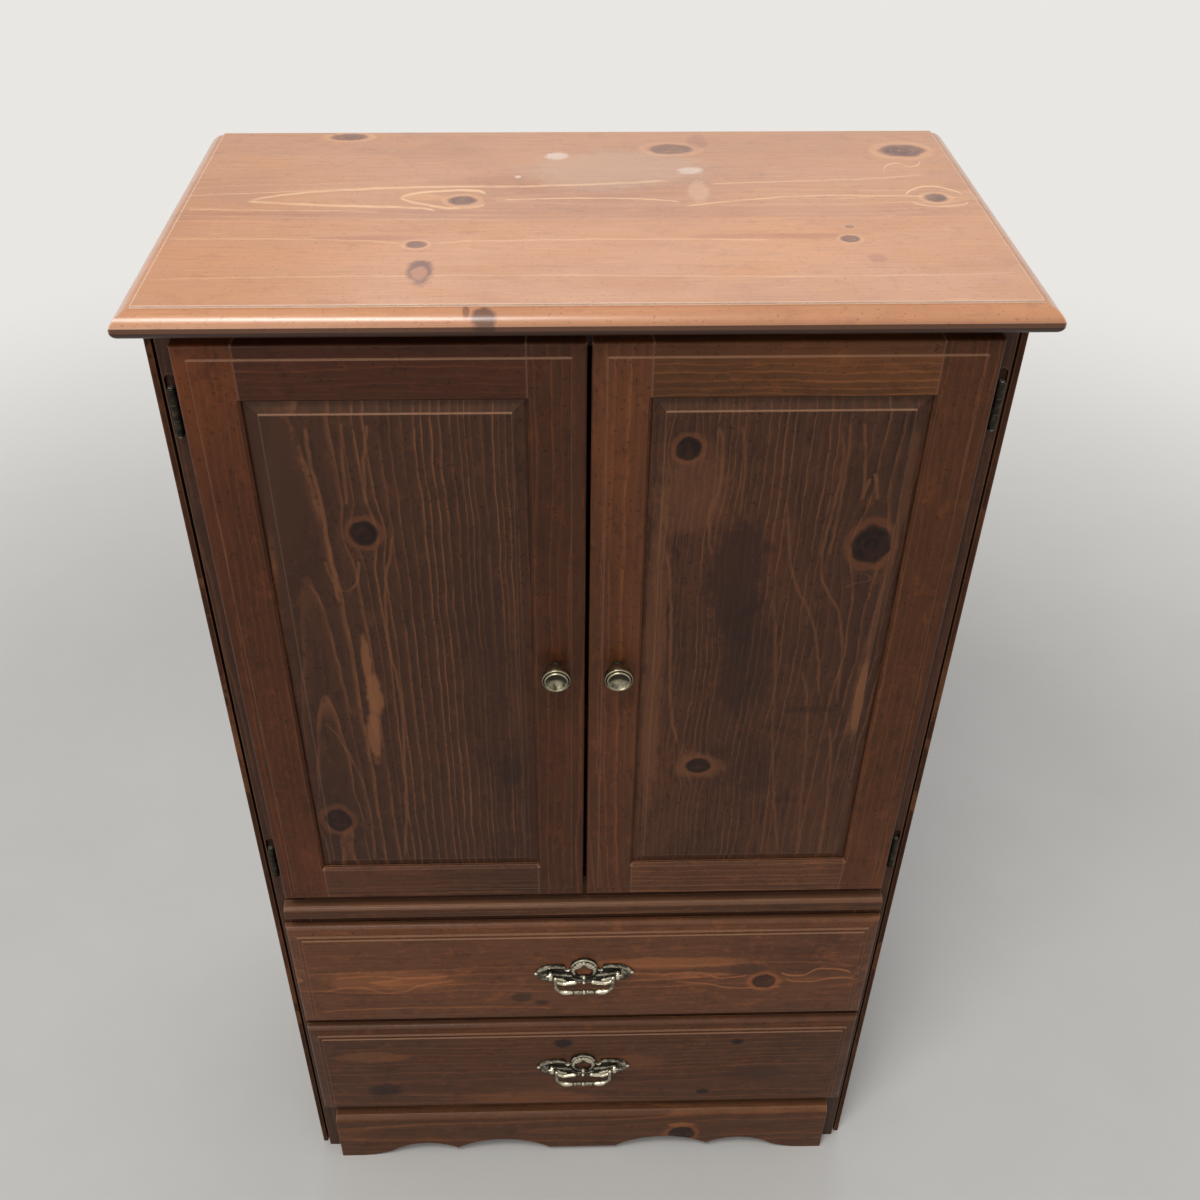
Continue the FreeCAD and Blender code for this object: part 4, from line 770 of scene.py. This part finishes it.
# %% Building a casting
class Casting:
    """Points in millimetres, faces, and the relief number of each point."""

    def __init__(self):
        self.points, self.faces, self.relief = [], [], []

    def loft(self, sections, relief):
        """Skin closed sections that have the same number of points; the first and last are closed off."""
        first, around = len(self.points), len(sections[0])
        for section, number in zip(sections, relief):
            self.points += section
            self.relief += [number] * around
        for row in range(len(sections) - 1):
            low = first + row * around
            for spot in range(around):
                beside = (spot + 1) % around
                self.faces.append((low + spot, low + beside, low + around + beside, low + around + spot))
        last = first + (len(sections) - 1) * around
        self.faces += [tuple(range(first, first + around)), tuple(range(last, last + around))]

    def turn(self, profile, origin, axis, sides):
        """Turn a profile of (radius, distance along the axis, relief) about an axis."""
        side = Vector((0, 0, 1)) if axis.z == 0 else Vector((1, 0, 0))
        up = axis.cross(side)
        self.loft([ring(origin + axis * along, side, up, radius, sides) for radius, along, _ in profile],
                  [number for *_, number in profile])

    def piece(self, name, body, material, node):
        """Make the mesh and let it stand for its CAD node."""
        mesh = bpy.data.meshes.new(name)
        mesh.from_pydata([point * MM for point in self.points], [], self.faces)
        mesh.attributes.new("relief", "FLOAT", "POINT").data.foreach_set("value", self.relief)
        work = bmesh.new()
        work.from_mesh(mesh)
        bmesh.ops.remove_doubles(work, verts=work.verts, dist=0.00002)
        bmesh.ops.recalc_face_normals(work, faces=work.faces)
        for face in work.faces:
            face.smooth = len(face.verts) <= 4
        work.to_mesh(mesh)
        work.free()
        mesh.materials.append(material)
        made = add_object(name, mesh)
        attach(made, body)
        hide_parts(node)
        print(name, "faces:", len(self.faces))


def ring(centre, side, up, radius, sides):
    """Points round a circle."""
    angles = [tau * number / sides for number in range(sides)]
    return [centre + (side * cos(angle) + up * sin(angle)) * radius for angle in angles]


print("castings are lofted from closed sections")

# %% [markdown]
# ## Back plates of the pulls
# A back plate is a thin casting with leaf wings, a pierced shell and a raised border. Its outline is a chain
# of arcs. We fill the outline with a fine net of triangles and lift each point by a height worked out from
# its distance to the border and to a few ribs, the way a carver builds low relief. Solids stuck together
# would leave seams where a casting has soft valleys.

# %% Outline of a back plate
OUT, IN = 1, -1
# Corners of the right half, then the radius and the way of the arc that follows.
PLATE_HALF = [
    (0, 30.5, 16, OUT), (10.5, 26, 12, OUT), (17, 16, 24, OUT), (18.5, 9.5, 5, IN), (25.5, 9.5, 5, OUT),
    (30, 17, 150, OUT), (46.45, 17, 27, OUT), (63.95, 4, 80, OUT), (63.95, -4, 27, OUT),
    (46.45, -17.5, 80, IN), (39.45, -18, 7, IN), (35, -22, 5, OUT), (30, -26.5, 120, OUT),
    (12, -23.5, 9, IN), (0, -22.5),
]
SHELL_HOLE = [(0, 17, 9, IN), (9.8, 9.5, 14, OUT), (6.2, -7, 12, IN), (-6.2, -7, 14, OUT),
              (-9.8, 9.5, 9, IN)]
BORDER_STEP = 0.5


def arc(start, end, radius, way):
    """Points from start towards end, on an arc that bows out of the outline or into it."""
    half = (end - start).length / 2
    outward = Vector((start.y - end.y, end.x - start.x)).normalized()
    centre = (start + end) / 2 - outward * (way * sqrt(radius ** 2 - half ** 2))
    turn = -2 * way * asin(half / radius)
    count = max(2, round(2 * half / BORDER_STEP))
    return [centre + Matrix.Rotation(turn * number / count, 2) @ (start - centre) for number in range(count)]


def border(corners):
    """Join corners by arcs."""
    line = []
    for corner, follower in zip(corners, corners[1:]):
        line += arc(Vector(corner[:2]), Vector(follower[:2]), *corner[2:])
    return line


right = border(PLATE_HALF)
rim_line = right + [Vector(PLATE_HALF[-1])] + [Vector((-point.x, point.y)) for point in reversed(right[1:])]
hole_line = border(SHELL_HOLE + SHELL_HOLE[:1])
print("border points:", len(rim_line), "round the hole:", len(hole_line))

# %% Relief of a back plate
# Raised lines of the right half: points, half width, height; then balls: centre, half width, height.
RIBS = [
    ([(26.5, 13), (37, 13.8), (49, 12.2), (60, 5.5)], 3.4, 2.0),
    ([(42, -1.5), (32, -3.2), (17, -5.2)], 2.6, 2.0), ([(44, -9), (36, -11), (25.5, -15.8)], 3.3, 2.9),
    ([(36, -19), (28, -22.6), (12.5, -20)], 3.8, 4.2), ([(50, 0.5), (62, 0.5)], 1.5, 1.2),
    ([(50, 3.6), (58.5, 6)], 1.4, 1.0), ([(50, -3), (58, -7)], 1.5, 1.1),
    ([(47, -13.5), (57, -9)], 2.4, 1.5), ([(16.8, 15), (12.2, 22.6), (6, 26.8), (0, 28)], 1.9, 2.4),
    ([(0, -4), (0, -14)], 1.5, 2.2), ([(0, -15.5), (8, -15.5), (15, -11)], 2.0, 1.6),
    ([(22, 3), (27, -9)], 2.2, 1.3), ([(27, 6), (38, 5)], 1.5, 0.9),
]
BALLS = [
    (21.8, 8.6, 4.0, 3.4), (0, -9.4, 2.6, 4.0), (0, -15.5, 2.6, 2.4), (0, -20.6, 2.4, 3.6),
    (63, 0, 3.4, 2.2), (6.5, -20.5, 2.2, 2.0),
]
SHELL_MIDDLE, SHELL_RADIUS, SHELL_HALF, FLUTES = Vector((0, 7)), 11.2, 6.2, 9
GROUND, RIM_HALF, RIM_HEIGHT, SHELL_HEIGHT = 1.7, 1.4, 1.3, 3.3


def hump(offset):
    """A round back: 1 in the middle, 0 from an offset of 1."""
    return sqrt(max(0.0, 1 - offset ** 2))


def distance_to(point, line):
    near = []
    for start, end in zip(line, line[1:]):
        run = end - start
        share = min(max((point - start).dot(run) / run.length_squared, 0), 1)
        near.append((start + run * share - point).length)
    return min(near)


def relief_height(point, edge):
    """Height over the wood at a point of the plate that lies so far from the edge."""
    point = Vector((abs(point.x), point.y))
    heights = [RIM_HEIGHT * hump((edge - RIM_HALF) / RIM_HALF)]
    heights += [height * hump(distance_to(point, line) / half) for line, half, height in ribs]
    heights += [height * hump((point - Vector((x, z))).length / half) for x, z, half, height in BALLS]
    from_middle = point - SHELL_MIDDLE
    fluted = 0.72 + 0.28 * abs(cos(FLUTES * atan2(from_middle.x, from_middle.y)))
    sunk = 0.3 + 0.7 * min(1, edge / 3)
    heights.append(SHELL_HEIGHT * fluted * sunk * hump((from_middle.length - SHELL_RADIUS) / SHELL_HALF))
    return GROUND * min(1, 0.55 + edge) + max(heights)


ribs = [([Vector(point) for point in line], half, height) for line, half, height in RIBS]
lowest = SHELL_MIDDLE - Vector((0, SHELL_RADIUS))
print("shell height, mm:", round(relief_height(lowest, 3.0), 2))

# %% Net of a back plate
NET_LOW, NET_HIGH, NET_STEP, ROW_SHARE = -26.2, 30.4, 0.62, 0.87
loops = [rim_line, hole_line]


def net():
    """Points inside the outline and outside the hole, row by row."""
    edges = [pair for loop in loops for pair in zip(loop, loop[1:] + loop[:1])]
    level, found = NET_LOW, []
    while level < NET_HIGH:
        crossings = sorted(a.x + (level - a.y) / (b.y - a.y) * (b.x - a.x)
                           for a, b in edges if (a.y > level) != (b.y > level))
        for start, end in zip(crossings[::2], crossings[1::2]):
            count = int((end - start - BORDER_STEP) / NET_STEP)
            first = (start + end) / 2 - count / 2 * NET_STEP
            found += [Vector((first + number * NET_STEP, level)) for number in range(count + 1)]
        level += NET_STEP * ROW_SHARE
    return found


def plate_net():
    """Points and triangles of the plate, and the distance of each point to the edge."""
    points = rim_line + hole_line
    tree = kdtree.KDTree(len(points))
    for number, point in enumerate(points):
        tree.insert(point.to_3d(), number)
    tree.balance()
    edges, start = [], 0
    for loop in loops:
        spots = list(range(start, start + len(loop)))
        edges += list(zip(spots, spots[1:] + spots[:1]))
        start += len(loop)
    flat, _, faces, sources, *_ = geometry.delaunay_2d_cdt(points + net(), edges, [], 1, 0.0001)
    round_hole = {number for number, source in enumerate(sources)
                  if any(len(rim_line) <= spot < start for spot in source)}
    faces = [face for face in faces if not set(face) <= round_hole]
    return flat, faces, [tree.find(point.to_3d())[2] for point in flat]


flat_points, plate_faces, edge_distance = plate_net()
plate_heights = [relief_height(point, edge) for point, edge in zip(flat_points, edge_distance)]
print("points of the plate:", len(flat_points), "highest, mm:", round(max(plate_heights), 2))

# %% Back plates with their posts
POST_X, POST_HALF, POST_OUT, TIP_X, WING_START = 44.45, 2.5, 6, 63.45, 49.0
POST_SIDE = [(1.5, -7.5), (8, -7.5), (11.2, -5), (12.9, -1.6), (13.1, 1.8), (11.6, 5), (8.4, 7.4), (1.5, 7.5)]
# Place in the width of a post, size, relief.
POST_CUTS = [(-1, 0.86, 0.75), (-0.86, 0.96, 0.95), (-0.6, 1, 1), (0, 1.015, 0.9), (0.6, 1, 1),
             (0.86, 0.96, 0.95), (1, 0.86, 0.75)]
CAP = [(0, -2.8), (1.1, -2.7), (1.6, -2.1), (1.7, 0), (1.6, 4.6), (1.1, 5.7), (0, 5.9)]
CAP_OUT, CAP_HIGH, BALL_RADIUS, BALL_HALF = 10.2, 4.9, 2.9, 1.8
# The relief number is 0 up to the height of a hollow and 1 from this range above it. The ground and hollows
# at 0 go near black: tarnish, and also painted shade round the raised parts.
HOLLOW, RELIEF_RANGE, WING_LEAST, WALL_RELIEF = 2.3, 2.4, 0.3, 0.2
DRAWERS = ("upper", "lower")
AHEAD = Vector((0, -1, 0))


def half_turn(count):
    """Angles from 0 to half a turn."""
    return [pi * number / count for number in range(count + 1)]


def plate_casting(pivot):
    """The plate, its two posts and the balls at its tips; pivot is midway between the posts, on the wood."""
    plate = Casting()
    for point, height in zip(flat_points, plate_heights):
        plate.points.append(pivot + Vector((point.x, -height, point.y)))
        least = WING_LEAST if abs(point.x) > WING_START else 0
        plate.relief.append(min(max((height - HOLLOW) / RELIEF_RANGE, least), 1))
    plate.faces += plate_faces
    sides, wall = {}, {}
    for face in plate_faces:
        for pair in zip(face, face[1:] + face[:1]):
            sides[frozenset(pair)] = sides.get(frozenset(pair), 0) + 1
    for low, high in (pair for pair, count in sides.items() if count == 1):
        for spot in (low, high):
            if spot not in wall:
                wall[spot] = len(plate.points)
                plate.points.append(pivot + Vector((flat_points[spot].x, 0, flat_points[spot].y)))
                plate.relief.append(WALL_RELIEF)
        plate.faces.append((low, high, wall[high], wall[low]))
    for way in (-1, 1):
        sections = [[pivot + Vector((
            way * POST_X + share * POST_HALF, -POST_OUT - (out - POST_OUT) * size, z * size))
            for out, z in POST_SIDE] for share, size, _ in POST_CUTS]
        plate.loft(sections, [number for *_, number in POST_CUTS])
        cap = [(radius, along * way, 1) for radius, along in CAP]
        plate.turn(cap, pivot + Vector((way * POST_X, -CAP_OUT, CAP_HIGH)), Vector((1, 0, 0)), 20)
        ball = [(BALL_RADIUS * sin(turn), 0.6 + BALL_HALF * (1 - cos(turn)), 1)
                for turn in half_turn(10)]
        plate.turn(ball, pivot + Vector((way * TIP_X, 0, 0)), AHEAD, 20)
    return plate


def pull_pivot(tier, out=0.0):
    """Midway between the posts of a pull, so far in front of the wood."""
    _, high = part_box(f"{tier}_drawer_pull_plate")
    return Vector((0, high.y / MM - out, high.z / MM - PLATE_HALF[0][1]))


for tier in DRAWERS:
    plate_casting(pull_pivot(tier)).piece(
        f"{tier}_back_plate", f"{tier}_drawer", cast_brass, f"{tier}_drawer_pull_plate")

# %% [markdown]
# ## Bails
# The bail is one bent rod: an eye at each end, a thin arm, a bend, then a grip turned like a small spindle,
# with a ball in the middle and a ribbed cage on each side of it. A tube along a line, with a radius at
# each step, makes all of that in one skin. A curve object could do the bend, but not the sharp turnings.

# %% The line and the radii of a bail
BAIL_DROP, ARM_X, BAIL_BEND, PIVOT_OUT = 30.0, 38.0, 14.0, 10.6
STRAIGHT = ARM_X - BAIL_BEND
BEND_END = STRAIGHT + BAIL_BEND * pi / 2
BAIL_END = BEND_END + BAIL_DROP - BAIL_BEND


def bail_point(run):
    """Where the line of the bail is at a distance from its middle, and the direction across it."""
    if run <= STRAIGHT:
        return Vector((run, 0, -BAIL_DROP)), Vector((0, 0, -1))
    if run <= BEND_END:
        turn = (run - STRAIGHT) / BAIL_BEND
        across = Vector((sin(turn), 0, -cos(turn)))
        return Vector((STRAIGHT, 0, BAIL_BEND - BAIL_DROP)) + across * BAIL_BEND, across
    return Vector((ARM_X, 0, run - BEND_END + BAIL_BEND - BAIL_DROP)), Vector((1, 0, 0))


# Along the grip, from its middle: end of the ball, then of the neck, the cage, the neck and the swelling.
BALL_END, CAGE_START, CAGE_END, SWELLING_START, SWELLING_END = 2.4, 3.4, 13.6, 14.8, 34
NECK, ROD, EYE_RADIUS, CAGE_RIB = 2.0, 2.4, 2.9, 1.7
GRIP_STEP, GRIP_STEPS, ARM_START, ARM_STEP = 0.34, 44, 15, 0.9
PIN = [(0, 0, 0), (1.4, 0, 0.3), (1.4, 10.3, 0.3), (1.4, 10.4, 0.9), (1.1, 10.7, 1), (0, 10.8, 1)]


def bail_radius(run):
    """Radius and relief: ball, neck, ribbed cage, neck, swelling, rod."""
    if run < BALL_END:
        return max(NECK, 3.9 * hump(run / 2.9)), 1.0
    if run < CAGE_START or CAGE_END < run < SWELLING_START:
        return NECK, 0.05
    if run <= CAGE_END:
        along = run - CAGE_START
        rib = abs(cos(pi * along / CAGE_RIB))
        belly = sin(pi * along / (CAGE_END - CAGE_START))
        return 2.5 + 0.5 * belly + 0.7 * rib, 0.05 + 0.6 * rib
    if run < SWELLING_END:
        share = (run - SWELLING_START) / (SWELLING_END - SWELLING_START)
        swelling = sin(pi * share ** 0.85)
        return ROD + 1.6 * swelling, 0.5 + 0.5 * swelling
    return ROD, 0.5


def bail_casting(pivot):
    bail = Casting()
    runs = [GRIP_STEP * number for number in range(GRIP_STEPS)]
    arm_steps = int((BAIL_END - ARM_START) / ARM_STEP)
    runs += [ARM_START + ARM_STEP * number for number in range(arm_steps)] + [BAIL_END]
    sections, relief = [], []
    for run in [-run for run in reversed(runs[1:])] + runs:
        place, across = bail_point(abs(run))
        way = copysign(1, run)
        radius, number = bail_radius(abs(run))
        sections.append(ring(pivot + Vector((place.x * way, 0, place.z)),
                             Vector((across.x * way, 0, across.z)), Vector((0, way, 0)), radius, 20))
        relief.append(number)
    bail.loft(sections, relief)
    eye = [(EYE_RADIUS * sin(turn), -EYE_RADIUS * cos(turn), 0.9) for turn in half_turn(12)]
    for way in (-1, 1):
        side = Vector((way, 0, 0))
        bail.turn(eye, pivot + side * ARM_X, side, 24)
        bail.turn(PIN, pivot + side * ARM_X, side, 20)
    return bail


for tier in DRAWERS:
    bail_casting(pull_pivot(tier, PIVOT_OUT)).piece(
        f"{tier}_drop_bail", f"{tier}_bail", cast_brass, f"{tier}_drawer_pull_bail")

# %% [markdown]
# ## Knobs
# A knob is turned on a lathe, so one profile carries everything: the plain foot, the thin neck, the round
# head, and on its face two rims with a groove between them and a shallow dish. The rims give the two
# bright rings. The dish turns its upper half down, and faces that look down get painted shade, so that
# half looks dark.

# %% Turned knobs
# Radius, distance from the door, relief. Relief 0 on the foot and neck paints the shade under the head.
KNOB = [
    (0, 0.05, 0), (6.0, 0.05, 0), (6.5, 0.5, 0), (6.5, 1.5, 0), (5.8, 2.2, 0), (4.8, 2.8, 0), (4.4, 4.2, 0),
    (4.4, 7, 0), (5.6, 9, 0), (9, 10.6, 0), (12.4, 11.8, 0.1), (14.6, 13.4, 0.4), (15.4, 16.4, 1),
    (15.5, 20.4, 1), (15.3, 23.0, 1), (14.9, 24.3, 1), (14.4, 24.8, 1), (13.8, 24.3, 0.3), (13.4, 24.0, 0),
    (13.1, 24.5, 0.1), (12.9, 25.7, 0.8), (12.4, 26.7, 1), (11.8, 27, 1), (11.2, 26.7, 0.7),
    (10.4, 26.0, 0.45), (9, 25.1, 0.45), (7.4, 24.2, 0.5), (5.4, 23.3, 0.6), (3.4, 22.7, 0.6),
    (1.6, 22.4, 0.65), (0, 22.3, 0.65),
]
for hand in ("left", "right"):
    node = f"{hand}_door_knob"
    low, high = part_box(node)
    middle = Vector(((low.x + high.x) / 2, high.y, (low.z + high.z) / 2)) / MM
    knob = Casting()
    knob.turn(KNOB, middle, AHEAD, 64)
    knob.piece(f"{hand}_knob", f"{hand}_door", turned_brass, node)

# %% Hinges, screws and other small metal
small = [name for name in nodes if name not in dressed]
for name in small:
    dress_node(name, hinge_bronze if "hinge" in name and "pins" not in name else steel)
print("small metal nodes:", len(small))

# %% End
print("scene built")
